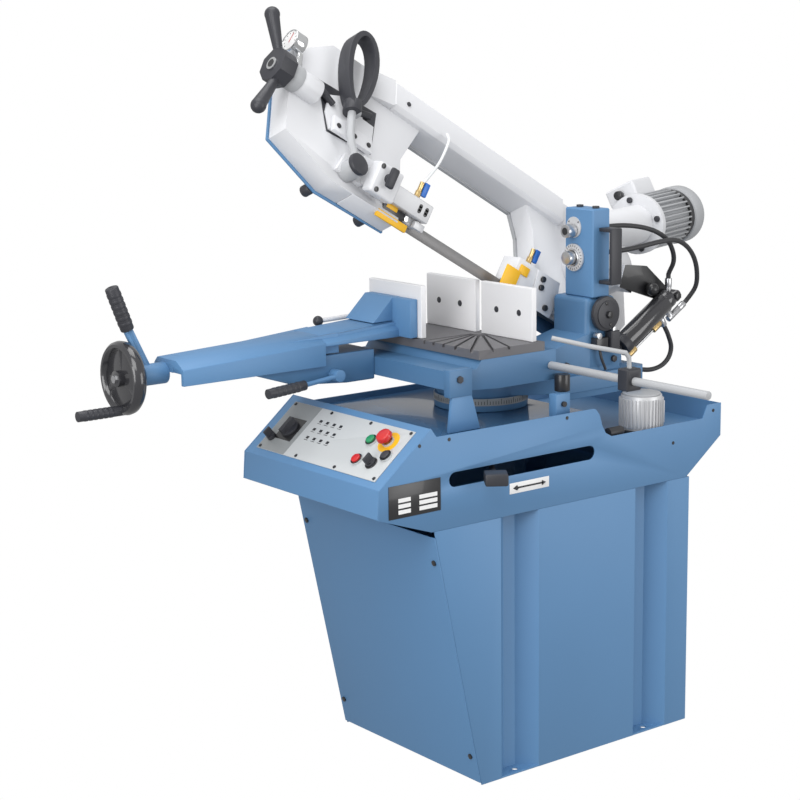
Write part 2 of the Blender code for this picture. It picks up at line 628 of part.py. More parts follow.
def bow_outline():
    """Outline of the bow casting in its own plane: idler end, beam, drive end."""
    v0, v1 = BOW_BEAM_V
    mid = WHEEL_R
    end = CASE_END_U
    left = [(-0.500, v0), (-0.560, mid - 0.010), (-0.560, -0.025), (-0.770, -0.030), (end, 0.030),
            (end, mid + 0.060), (end + 0.050, mid + 0.130), (end + 0.125, v1 - 0.006), (-0.600, v1)]
    end = DRIVE_U + WHEEL_R + CASE_RIM
    right = [(DRIVE_U, v1 + 0.002), (end - 0.060, v1 - 0.025), (end, mid + 0.070), (end, mid - 0.060),
             (end - 0.065, 0.015), (DRIVE_U + 0.030, -0.022), (-0.040, -0.025), (-0.075, 0.000),
             (-0.085, mid + 0.040), (-0.110, v0)]
    return left + right


def grow(outline, lip):
    """Offset a closed outline outwards by a lip."""
    out = []
    count = len(outline)
    area = sum(outline[i][0] * outline[(i + 1) % count][1] - outline[(i + 1) % count][0] * outline[i][1]
               for i in range(count))
    sign = 1.0 if area > 0 else -1.0
    for i, (u, v) in enumerate(outline):
        before = Vector(outline[i]) - Vector(outline[i - 1])
        after = Vector(outline[(i + 1) % count]) - Vector(outline[i])
        n1 = Vector((before.y, -before.x)).normalized() * sign
        n2 = Vector((after.y, -after.x)).normalized() * sign
        push = (n1 + n2) * (lip / (1.0 + n1.dot(n2)))
        out.append((u + push.x, v + push.y))
    return out


def loop_point(angle, wall):
    """Point on the egg-shaped loop of the handle, drawn in by a wall."""
    low = 0.160
    high = 0.391
    rise = (high - low) / 2 - wall
    wide = 0.046 - wall
    v = (low + high) / 2 + rise * math.sin(angle)
    lean = -0.754 + 0.024 * (v - low) / (high - low)
    return lean + wide * math.cos(angle) * (1.0 + 0.20 * math.sin(angle)), v


def build_head():
    """Bow casting and everything that tilts with it, drawn lowered under the raised pivot frame."""
    head = frame_at("head_pivot", PIVOT, (0.0, HEAD_RAISED, 0.0))
    bow = frame_at("bow_plane", (0.0, 0.0, -BLADE_DROP), (math.pi / 2 - BOW_LEAN, 0.0, 0.0), head)
    v0, v1 = BOW_BEAM_V
    centre = WHEEL_R

    def disc(name, u, radius, lo, hi, segs=48):
        return rod(name, (u, centre, lo), (u, centre, hi), radius, bow, segs)

    frame = prism("bow_frame", bow_outline(), CASE_BACK, CASE_FRONT, parent=bow)
    unite(frame, block("beam", (-0.610, v0, CASE_BACK + 0.001), (0.020, v1 - 0.001, BOW_BEAM_FRONT), bow,
                       0.010))
    unite(frame, rod("boss", (CASE_END_U + 0.065, centre, TENSION_W),
                     (TENSION_U[0] + GAP, centre, TENSION_W), 0.0290, bow, 32))
    inner = COLUMN_Y[1] - PIVOT[1] + 0.003
    unite(frame, rod("hinge", (0.0, inner, 0.0), (0.0, 0.010, 0.0), 0.0330, head, 32))
    unite(frame, block("guide_mount", (-0.705, -0.0212, -0.020), (-0.610, 0.030, 0.050), head))
    front = CASE_FRONT - CASE_WALL
    deep = CASE_BACK - 0.020
    hollow = disc("hollow", IDLER_U, HOLLOW_R, deep, front)
    unite(hollow, disc("hollow_right", DRIVE_U, HOLLOW_R, deep - 0.001, front))
    high = 2 * WHEEL_R
    run = block("run", (IDLER_U + 0.01, high - 0.022, deep - 0.002),
                (DRIVE_U - 0.01, high + 0.020, front - 0.0006), bow)
    unite(hollow, run)
    carve(frame, hollow)
    window = block("window", (IDLER_U + 0.030, -0.040, deep - 0.003),
                   (DRIVE_U - 0.030, 0.036, front + 0.0006), bow)
    carve(frame, window)
    seat = -0.012
    carve(frame, rod("bore", (0.0, -0.20, 0.0), (0.0, seat + GAP, 0.0), PIVOT_BORE, head, 24))
    for u in (IDLER_U, DRIVE_U):
        unite(frame, disc("axle", u, PIVOT_R, -0.0190, front + 0.002, 24))
    finish(frame, WHITE, 0.4)

    outer = min(COLUMN_Y[0], POST_Y[0]) - PIVOT[1]
    shaft = rod("pivot_shaft", (0.0, outer - 0.002, 0.0), (0.0, seat, 0.0), PIVOT_R, head)
    unite(shaft, rod("cap", (0.0, outer - 0.014, 0.0), (0.0, outer - 0.0015, 0.0), 0.0420, head, 32))
    finish(shaft, DARK, 0.4, 0.5)

    back = CASE_BACK - GAP
    cover = prism("wheel_cover", grow(bow_outline(), COVER_LIP), back - COVER_T, back, parent=bow)
    finish(cover, BLUE, 0.45)

    for name, u in (("idler_wheel", IDLER_U), ("drive_wheel", DRIVE_U)):
        wheel = disc(name, u, WHEEL_R, -WHEEL_W / 2, WHEEL_W / 2, WHEEL_SIDES)
        carve(wheel, disc("dish", u, WHEEL_R - 0.022, 0.004, 0.03, 48))
        unite(wheel, disc("hub", u, 0.034, 0.002, WHEEL_W / 2, 24))
        carve(wheel, disc("bore", u, 0.0153, -0.05, 0.05, 24))
        finish(wheel, PALE, 0.45, 0.5)
    finish(build_blade(bow), STEEL, 0.3, 1.0)

    near, far = TENSION_U
    knob = rod("tension_knob", (near, centre, TENSION_W), (far, centre, TENSION_W), TENSION_HUB_R, bow, 8)
    hub = Vector(((near + far) / 2, centre, TENSION_W))
    for turn in (5, 185):
        a = math.radians(turn)
        out = Vector((0.0, math.cos(a), math.sin(a)))
        tip = hub + out * TENSION_REACH + Vector((-0.040, 0.0, 0.0))
        unite(knob, rod("grip", hub + out * 0.020, tip, 0.0090, bow, 20, 0.0165))
        unite(knob, ball("tip", tip + out * 0.002, 0.0175, bow))
    finish(knob, DARK, 0.45)
    at = Vector((CASE_END_U - 0.018, centre + 0.099, 0.0380))
    gauge = rod("tension_gauge", at, at + Vector((0.030, 0, 0)), 0.0265, bow, 32)
    foot = Vector((CASE_END_U + 0.010, centre + 0.0290 + GAP, TENSION_W))
    unite(gauge, rod("stem", foot, foot + Vector((0.0, 0.055, 0.0)), 0.0080, bow, 16))
    finish(gauge, STEEL, 0.2, 1.0)
    step = CASE_FRONT + GAP
    mount = Vector((IDLER_U, 0.010, 0.0))
    mount_r = 0.0235
    socket = rod("handle_bracket", mount + Vector((0, 0, step)), mount + Vector((0, 0, 0.074)), mount_r,
                 bow, 32)
    finish(socket, DARK, 0.5)
    loop = [loop_point(math.tau * i / 36, 0.0) for i in range(36)]
    hole = [loop_point(math.tau * i / 36, 0.014) for i in range(36)]
    handle = prism("loop_handle", loop, *HANDLE_W, parent=bow, holes=(hole,))
    deep = (HANDLE_W[0] + HANDLE_W[1]) / 2
    end = mount.y + mount_r + GAP
    bend = [(-0.742, end, deep), (-0.743, end + 0.014, deep), (-0.751, end + 0.028, deep),
            (-0.756, end + 0.050, deep), (-0.756, end + 0.090, deep), (-0.754, end + 0.138, deep)]
    unite(handle, tube("bar", bend, 0.0095, bow))
    unite(handle, rod("collar", (-0.7545, 0.150, deep), (-0.7535, 0.178, deep), 0.0215, bow, 24))
    finish(handle, DARK, 0.5)

    finish(block("guide_clamp", (-0.700, -0.0800, -0.028), (-0.625, -0.0460, 0.045), head, 0.004), WHITE,
           0.4)
    finish(block("guide_arm", (-0.695, -0.0455, -0.014), (-0.490, -0.0215, 0.030), head, 0.002), PALE, 0.4,
           0.6)
    guide = block("left_guide", (GUIDE_LEFT_U[0], -0.0212, -0.0330), (GUIDE_LEFT_U[1], 0.0200, 0.0300),
                  head)
    carve(guide, block("kerf", (-0.60, -0.0022, -0.05), (-0.45, 0.0022, -0.0140), head))
    finish(guide, PALE, 0.4, 0.6)
    guide = block("right_guide", (GUIDE_RIGHT_U[0], -0.0400, -0.0330), (GUIDE_RIGHT_U[1], 0.0200, 0.0450),
                  head)
    unite(guide, block("plate", (GUIDE_RIGHT_U[0], -0.0400, -0.010), (-0.0400, -0.0270, 0.0450), head))
    carve(guide, block("kerf", (-0.25, -0.0022, -0.05), (-0.10, 0.0022, -0.0140), head))
    finish(guide, PALE, 0.4, 0.6)
    build_drive(head, bow, centre)
    build_ram(head)


def build_blade(bow):
    """Blade band: around both wheels, its lower run twisted upright between the guides."""
    radius = (WHEEL_R + GAP) / math.cos(math.pi / WHEEL_SIDES) + BLADE_T / 2
    twist = math.pi / 2 - BOW_LEAN
    stations = []
    for u, v in arc(DRIVE_U, WHEEL_R, radius, -90, 90, WHEEL_SIDES // 2):
        stations.append((u, v, math.atan2(v - WHEEL_R, u - DRIVE_U), 0.0))
    for u, v in arc(IDLER_U, WHEEL_R, radius, 90, 270, WHEEL_SIDES // 2):
        stations.append((u, v, math.atan2(v - WHEEL_R, u - IDLER_U), 0.0))
    low = WHEEL_R - radius
    a = GUIDE_LEFT_U[0] - TWIST_RUN
    b = GUIDE_LEFT_U[0] - 0.01
    c = GUIDE_RIGHT_U[1] + 0.01
    d = DRIVE_U - 0.06
    for i in range(9):
        t = i / 8
        stations.append((a + (b - a) * t, low, -math.pi / 2, twist * t * t * (3 - 2 * t)))
    for i in range(9):
        t = i / 8
        stations.append((c + (d - c) * t, low, -math.pi / 2, twist * (1 - t * t * (3 - 2 * t))))
    bm = bmesh.new()
    rings = []
    for u, v, face, turn in stations:
        out = Vector((math.cos(face), math.sin(face), 0.0))
        wide = Vector((0.0, 0.0, 1.0))
        if turn:
            spin = Matrix.Rotation(-turn, 3, "X")
            out = spin @ out
            wide = spin @ wide
        mid = Vector((u, v, 0.0))
        corners = []
        for s, t in ((-1, -1), (1, -1), (1, 1), (-1, 1)):
            corners.append(bm.verts.new(mid + wide * (s * WHEEL_W / 2) + out * (t * BLADE_T / 2)))
        rings.append(corners)
    for one, two in zip(rings, rings[1:] + rings[:1]):
        for k in range(4):
            bm.faces.new((one[k], one[(k + 1) % 4], two[(k + 1) % 4], two[k]))
    return from_bmesh("saw_blade", bm, bow)


def build_drive(head, bow, centre):
    """Gearbox, motor, fan cover and terminal box."""
    step = CASE_FRONT + GAP
    way = Vector((math.cos(MOTOR_TURN), math.sin(MOTOR_TURN), 0.0))
    side = Vector((-way.y, way.x, 0.0))
    worm = Vector((DRIVE_U, centre, MOTOR_W)) + side * MOTOR_OFFSET
    gear = rod("gearbox", (DRIVE_U, centre, step), (DRIVE_U, centre, 0.134), 0.074, bow, 40)
    unite(gear, rod("neck", worm - way * 0.060, worm + way * (FLANGE_X[1] - 0.004), 0.050, bow, 32))
    unite(gear, rod("flange", worm + way * FLANGE_X[0], worm + way * FLANGE_X[1], FLANGE_R, bow, 40))
    x, z = RAM_HIGH_LOCAL
    ear = [(0.100, 0.165), (0.110, 0.110), (x + 0.004, z - 0.018), (x + 0.018, z), (x + 0.006, z + 0.018),
           (0.170, 0.195)]
    rear = RAM_Y - PIVOT[1] + 0.0235
    unite(gear, prism("ear", ear, rear, rear + 0.012, "Y", head))
    unite(gear, block("web", (0.110, rear + 0.006, 0.115), (0.160, -0.015, 0.170), head))
    finish(gear, WHITE, 0.4)
    start = worm + way * (FLANGE_X[1] + GAP)
    end = worm + way * MOTOR_END
    finish(rod("motor_body", start, end, MOTOR_R, bow, 40), PALE, 0.4, 0.6)
    finish(rod("fan_cover", end + way * GAP, worm + way * FAN_END, MOTOR_R + 0.002, bow, 40), DARK, 0.5)
    box = block("terminal_box", (-0.055, MOTOR_R + GAP, -0.062), (0.045, MOTOR_R + 0.048, 0.026), bow,
                0.004)
    turn = Matrix.Rotation(MOTOR_TURN, 4, "Z")
    box.data.transform(Matrix.Translation(start + way * 0.060) @ turn)
    finish(box, DARK, 0.5)


def smooth(points, step):
    """Points read at an even step from a smooth curve through a route, with straight leads at both ends."""
    knots = [Vector(p) for p in points]
    ends = [knots[0] * 2 - knots[1], *knots, knots[-1] * 2 - knots[-2]]
    fine = []
    for p0, p1, p2, p3 in zip(ends, ends[1:], ends[2:], ends[3:]):
        for k in range(20):
            t = k / 20
            fine.append(0.5 * (2 * p1 + (p2 - p0) * t + (2 * p0 - 5 * p1 + 4 * p2 - p3) * t * t
                               + (3 * p1 - p0 - 3 * p2 + p3) * t ** 3))
    line = [knots[0], knots[1]]
    for spot in fine[20:-20]:
        clear = (spot - knots[-2]).length > step * 0.6
        if clear and (spot - line[-1]).length >= step:
            line.append(spot)
    return [*line, knots[-2], knots[-1]]


def build_hoses(barrel, top, way):
    """Ports on the cylinder and the three free hoses that plug on them."""
    below = Vector((-way.z, 0.0, way.x))
    up = Vector((0.0, 0.0, 1.0))
    upper = top + way * UPPER_AT
    elbow = top + way * LOWER_AT + below * LOWER_STUB
    drain = top + way * DRAIN_AT
    unite(barrel, rod("port", upper, upper + up * UPPER_STUB, STUB_R, segs=16))
    unite(barrel, rod("port", top + way * LOWER_AT, elbow, STUB_R, segs=16))
    unite(barrel, rod("crimp", elbow + way * 0.010, elbow - way * CRIMP, STUB_R + LAP, segs=16))
    unite(barrel, rod("port", drain, drain + below * DRAIN_STUB, STUB_R, segs=16))
    out = POST_X[1] + STUB + GAP
    east = Vector((1.0, 0.0, 0.0))
    hoses = (
        ("hose_upper", (out, *POST_PORTS[0]), east, UPPER_ROUTE, upper + up * (UPPER_STUB + GAP), up),
        ("hose_lower", (out, *POST_PORTS[1]), east, LOWER_ROUTE, elbow - way * (CRIMP + GAP), -way),
        ("hose_drain", drain + below * (DRAIN_STUB + GAP), below, DRAIN_ROUTE,
         (ARM_END + STUB + GAP, *ARM_PORT), east),
    )
    for name, start, leave, route, end, arrive in hoses:
        start = Vector(start)
        end = Vector(end)
        points = (start, start + leave * LEAD, *route, end + arrive * LEAD, end)
        finish(tube(name, smooth(points, HOSE_R * 3), HOSE_R), DARK, 0.5)


def build_ram(head):
    """Feed cylinder hung on the head, its rod reaching the swivel arm."""
    turn = head.rotation_euler.y
    dx = RAM_LOW[0] - PIVOT[0]
    dz = RAM_LOW[1] - PIVOT[2]
    low = Vector((dx * math.cos(turn) - dz * math.sin(turn), 0.0,
                  dx * math.sin(turn) + dz * math.cos(turn)))
    y = RAM_Y - PIVOT[1]
    top = Vector((RAM_HIGH_LOCAL[0], y, RAM_HIGH_LOCAL[1]))
    foot = Vector((low.x, y, low.z))
    way = (foot - top).normalized()
    span = (foot - top).length
    across = Vector((0.0, 1.0, 0.0))
    barrel = rod("ram_barrel", top + way * 0.010, top + way * (span - 0.038), RAM_R, head, 32)
    unite(barrel, rod("eye", top - across * 0.0200, top + across * 0.0200, 0.0150, head, 24))
    turned = head.matrix_world.to_3x3()
    build_hoses(barrel, head.matrix_world @ top, turned @ way)
    carve(barrel, rod("bore", top + way * 0.0250, foot + way * 0.05, 0.0083, head, 20))
    finish(barrel, DARK, 0.4)
    stem = rod("ram_rod", top + way * 0.030, foot - way * 0.004, 0.0080, head, 20)
    unite(stem, rod("eye", foot - across * 0.0100, foot + across * 0.0100, 0.0120, head, 24))
    finish(stem, STEEL, 0.25, 1.0)


build_cabinet()
build_tray()
build_controls()
build_table()
build_vise()
build_swivel()
build_head()
bpy.context.view_layer.update()
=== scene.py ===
"""Looks of the band saw: finishes, dressed CAD nodes, extra pieces, camera and light."""
import logging
import math
from dataclasses import dataclass, field
from enum import Enum

import bpy
from mathutils import Matrix, Vector


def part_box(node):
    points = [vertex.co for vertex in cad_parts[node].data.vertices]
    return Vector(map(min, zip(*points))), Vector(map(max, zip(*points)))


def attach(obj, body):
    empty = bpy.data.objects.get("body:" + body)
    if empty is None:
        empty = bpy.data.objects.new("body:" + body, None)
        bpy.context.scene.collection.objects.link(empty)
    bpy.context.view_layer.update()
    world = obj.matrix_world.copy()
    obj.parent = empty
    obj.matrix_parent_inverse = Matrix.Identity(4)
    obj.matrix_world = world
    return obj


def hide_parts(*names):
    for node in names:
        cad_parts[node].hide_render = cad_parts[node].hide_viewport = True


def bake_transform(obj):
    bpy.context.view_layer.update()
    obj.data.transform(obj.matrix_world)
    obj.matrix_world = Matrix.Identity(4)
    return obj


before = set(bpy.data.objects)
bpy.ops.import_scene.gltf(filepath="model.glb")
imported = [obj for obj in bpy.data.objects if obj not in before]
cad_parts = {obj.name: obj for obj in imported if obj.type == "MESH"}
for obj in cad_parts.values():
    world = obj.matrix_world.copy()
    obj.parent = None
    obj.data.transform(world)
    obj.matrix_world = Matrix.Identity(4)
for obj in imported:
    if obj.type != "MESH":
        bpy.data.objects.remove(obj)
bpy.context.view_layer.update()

LOG = logging.getLogger("band_saw")

Flat = tuple[float, float]
Point = tuple[float, float, float]
Mesh = bpy.types.Object

WORLD = Matrix.Identity(4)
ALONG_X = (1, 0, 0)
ALONG_Z = (0, 0, 1)
QUARTER = math.pi / 2

GRAIN_DEPTH = 0.0004
GRAIN_DETAIL = 2.0
CLOUD_SCALE = 5.0
CLOUD_DETAIL = 4.0
ROUGH_DRIFT = 0.06
LEAST_ROUGH = 0.05
SHARP_ANGLE = math.radians(35)


@dataclass(frozen=True)
class Wiring:
    """Adds nodes to a node tree and links them.

    Args:
        tree: the node tree.
    """

    tree: bpy.types.NodeTree

    @staticmethod
    def tune(node: bpy.types.Node, **values: object) -> bpy.types.Node:
        """Set a node's inputs.

        Args:
            node: the node.
            values: value of each input, with _ for a space in its name.

        Returns:
            The node.
        """
        for name, value in values.items():
            node.inputs[name.replace("_", " ")].default_value = value
        return node

    def add(self, kind: str, **values: object) -> bpy.types.Node:
        """Add a node and set its inputs.

        Args:
            kind: node type.
            values: as for tune.

        Returns:
            The node.
        """
        return self.tune(self.tree.nodes.new(kind), **values)

    def link(self, *ends: tuple[bpy.types.Node, str, bpy.types.Node, str]) -> None:
        """Link nodes.

        Args:
            ends: for each link a node, its output, the next node and its input.
        """
        for source, output, target, entry in ends:
            self.tree.links.new(source.outputs[output], target.inputs[entry])


@dataclass(frozen=True)
class Recipe:
    """One procedural finish.

    Args:
        name: material name.
        colour: linear base colour.
        rough: mean roughness.
        metal: metallic value.
        grain: bump strength.
        scale: noise scale of the grain in 1/m.
        mottle: how far the colour drifts in value.
        coat: clear coat weight.
        stretch: noise stretch along x, y, z, for ground or brushed metal.
    """

    name: str
    colour: Point
    rough: float
    metal: float = 0.0
    grain: float = 0.0
    scale: float = 900.0
    mottle: float = 0.0
    coat: float = 0.0
    stretch: Point = (1.0, 1.0, 1.0)

    def build(self) -> bpy.types.Material:
        """Make the node material.

        Returns:
            The material.
        """
        mat = bpy.data.materials.new(self.name)
        mat.use_nodes = True
        wires = Wiring(mat.node_tree)
        shader = mat.node_tree.nodes["Principled BSDF"]
        wires.tune(shader, Base_Color=(*self.colour, 1.0), Roughness=self.rough, Metallic=self.metal,
                   Coat_Weight=self.coat)
        if not (self.grain or self.mottle):
            return mat
        coords = wires.add("ShaderNodeTexCoord")
        mapping = wires.add("ShaderNodeMapping", Scale=self.stretch)
        wires.link((coords, "Object", mapping, "Vector"))
        if self.grain:
            noise = wires.add("ShaderNodeTexNoise", Scale=self.scale, Detail=GRAIN_DETAIL)
            bump = wires.add("ShaderNodeBump", Strength=self.grain, Distance=GRAIN_DEPTH)
            wires.link((mapping, "Vector", noise, "Vector"), (noise, "Fac", bump, "Height"),
                       (bump, "Normal", shader, "Normal"))
        if self.mottle:
            cloud = wires.add("ShaderNodeTexNoise", Scale=CLOUD_SCALE, Detail=CLOUD_DETAIL)
            ramp = wires.add("ShaderNodeMapRange", To_Min=1.0 - self.mottle, To_Max=1.0 + self.mottle)
            tint = wires.add("ShaderNodeVectorMath")
            tint.operation = "SCALE"
            tint.inputs[0].default_value = self.colour
            rough = wires.add("ShaderNodeMapRange", To_Min=max(LEAST_ROUGH, self.rough - ROUGH_DRIFT),
                              To_Max=min(1.0, self.rough + ROUGH_DRIFT))
            wires.link((mapping, "Vector", cloud, "Vector"), (cloud, "Fac", ramp, "Value"),
                       (ramp, "Result", tint, "Scale"), (tint, "Vector", shader, "Base Color"),
                       (cloud, "Fac", rough, "Value"), (rough, "Result", shader, "Roughness"))
        return mat


class Finish(Enum):
    """The finishes that pieces are made in."""

    BLUE = Recipe("blue_paint", (0.098, 0.228, 0.42), 0.5, grain=0.08, scale=700.0, mottle=0.03)
    WHITE = Recipe("white_paint", (0.675, 0.682, 0.705), 0.46, grain=0.1, scale=500.0, mottle=0.015)
    PLATE = Recipe("plate_white", (0.5, 0.52, 0.53), 0.4)
    DARK = Recipe("dark_plastic", (0.032, 0.033, 0.04), 0.45, grain=0.12, scale=1500.0)
    BLACK = Recipe("black_metal", (0.018, 0.018, 0.02), 0.32, grain=0.05, coat=0.2)
    GLOSS = Recipe("gloss_black", (0.03, 0.03, 0.034), 0.18, grain=0.02, coat=0.6)
    RUBBER = Recipe("hose_rubber", (0.03, 0.03, 0.033), 0.5, grain=0.1, scale=1200.0)
    STEEL = Recipe("steel", (0.58, 0.585, 0.6), 0.3, 1.0, grain=0.03, mottle=0.03,
                   stretch=(1.0, 8.0, 8.0))
    BLADE = Recipe("blade_steel", (0.22, 0.215, 0.215), 0.42, 0.6, mottle=0.05)
    CHROME = Recipe("chrome", (0.75, 0.76, 0.77), 0.14, 1.0)
    JAW = Recipe("ground_jaw", (0.76, 0.76, 0.775), 0.45, 0.1, grain=0.04, mottle=0.02,
                   stretch=(1.0, 1.0, 6.0))
    TABLE = Recipe("cast_dark", (0.135, 0.133, 0.142), 0.5, 0.1, grain=0.06, mottle=0.06)
    ALLOY = Recipe("alloy", (0.6, 0.605, 0.62), 0.42, 0.3, grain=0.08, scale=600.0, mottle=0.03)
    GREY = Recipe("grey_paint", (0.4, 0.41, 0.425), 0.45, grain=0.08, scale=500.0)
    RED = Recipe("red_plastic", (0.56, 0.018, 0.018), 0.3, coat=0.3)
    GREEN = Recipe("green_plastic", (0.015, 0.25, 0.1), 0.3, coat=0.3)
    YELLOW = Recipe("yellow_paint", (0.84, 0.46, 0.008), 0.42, grain=0.06)
    BRASS = Recipe("brass", (0.72, 0.52, 0.24), 0.3, 0.9, mottle=0.04)
    TAP = Recipe("tap_blue", (0.02, 0.14, 0.52), 0.35)
    LABEL = Recipe("label_white", (0.82, 0.82, 0.82), 0.45)
    CLEAR = Recipe("clear_tube", (0.76, 0.78, 0.79), 0.22, coat=0.3)
    FIELD = Recipe("panel_field", (0.27, 0.285, 0.29), 0.4)
    # Darker blue of the castings: painted shade, its step down from BLUE matched to faces that lie in
    # shade.
    CAST = Recipe("blue_painted_shade", (0.07, 0.172, 0.322), 0.46, grain=0.1, scale=600.0, mottle=0.04)
    # Dark blue of the tray floor: painted shade under the table; the clear coat gives it gloss.
    DECK = Recipe("deck_blue_painted_shade", (0.055, 0.145, 0.285), 0.24, grain=0.03, mottle=0.05, coat=0.4)


class Paintbox:
    """Builds each material once and hands it out."""

    def __init__(self) -> None:
        self._made: dict[Finish, bpy.types.Material] = {}

    def get(self, finish: Finish) -> bpy.types.Material:
        """Material of a finish.

        Args:
            finish: which finish.

        Returns:
            The shared material.
        """
        if finish not in self._made:
            self._made[finish] = finish.value.build()
        return self._made[finish]


PAINT = Paintbox()


@dataclass(frozen=True)
class Rig:
    """Frames that the tilted and leaning sub-assemblies are drawn in, at rest."""

    pivot: Point = (0.14, 0.017, 1.04)
    raised: float = math.radians(30.1)
    lean: float = math.radians(30.0)
    blade_drop: float = 0.03
    nose: Flat = (-0.616, 0.743)
    peak: Flat = (-0.473, 0.86)
    ram_top: Point = (0.44778, -0.085, 1.04653)
    ram_low: Point = (0.238, -0.085, 0.914)

    @property
    def head(self) -> Matrix:
        """Head frame: pivot origin, blade along X when lowered."""
        return Matrix.Translation(self.pivot) @ Matrix.Rotation(self.raised, 4, "Y")

    @property
    def bow(self) -> Matrix:
        """Bow plane: X along the blade, Y up the bow, Z to the operator's side."""
        drop = Matrix.Translation((0.0, 0.0, -self.blade_drop))
        return self.head @ drop @ Matrix.Rotation(QUARTER - self.lean, 4, "X")

    @property
    def slope(self) -> Matrix:
        """Control panel: X up the slope, Y across, Z out of the panel."""
        angle = math.atan2(self.peak[1] - self.nose[1], self.peak[0] - self.nose[0])
        at = Matrix.Translation((self.nose[0], 0.0, self.nose[1]))
        return at @ Matrix.Rotation(-angle, 4, "Y")

    @property
    def ram(self) -> Matrix:
        """Feed cylinder: origin at its top eye, X below it, Z down along it."""
        top, low = Vector(self.ram_top), Vector(self.ram_low)
        way = (low - top).normalized()
        below = Vector((-way.z, 0.0, way.x))
        across = way.cross(below)
        turn = Matrix((below, across, way)).transposed().to_4x4()
        return Matrix.Translation(top) @ turn


RIG = Rig()


def smooth_line(points: list[Vector], steps: int) -> list[Vector]:
    """Catmull-Rom line through points.

    Args:
        points: points to pass through.
        steps: samples in each span.

    Returns:
        The sampled points.
    """
    ends = [points[0] * 2 - points[1], *points, points[-1] * 2 - points[-2]]
    line = []
    for i in range(1, len(ends) - 2):
        p0, p1, p2, p3 = ends[i - 1:i + 3]
        for k in range(steps):
            t = k / steps
            line.append(0.5 * (2 * p1 + (p2 - p0) * t + (2 * p0 - 5 * p1 + 4 * p2 - p3) * t * t
                               + (3 * p1 - p0 - 3 * p2 + p3) * t ** 3))
    line.append(points[-1].copy())
    return line


def polar(radius: float, degrees: float) -> Flat:
    """Point on a circle.

    Args:
        radius: circle radius.
        degrees: angle.

    Returns:
        The two coordinates.
    """
    a = math.radians(degrees)
    return radius * math.cos(a), radius * math.sin(a)


def upright_to(way: Vector) -> Matrix:
    """Turn that brings Z to a direction.

    Args:
        way: the direction.

    Returns:
        The turn.
    """
    return Vector(ALONG_Z).rotation_difference(way).to_matrix().to_4x4()


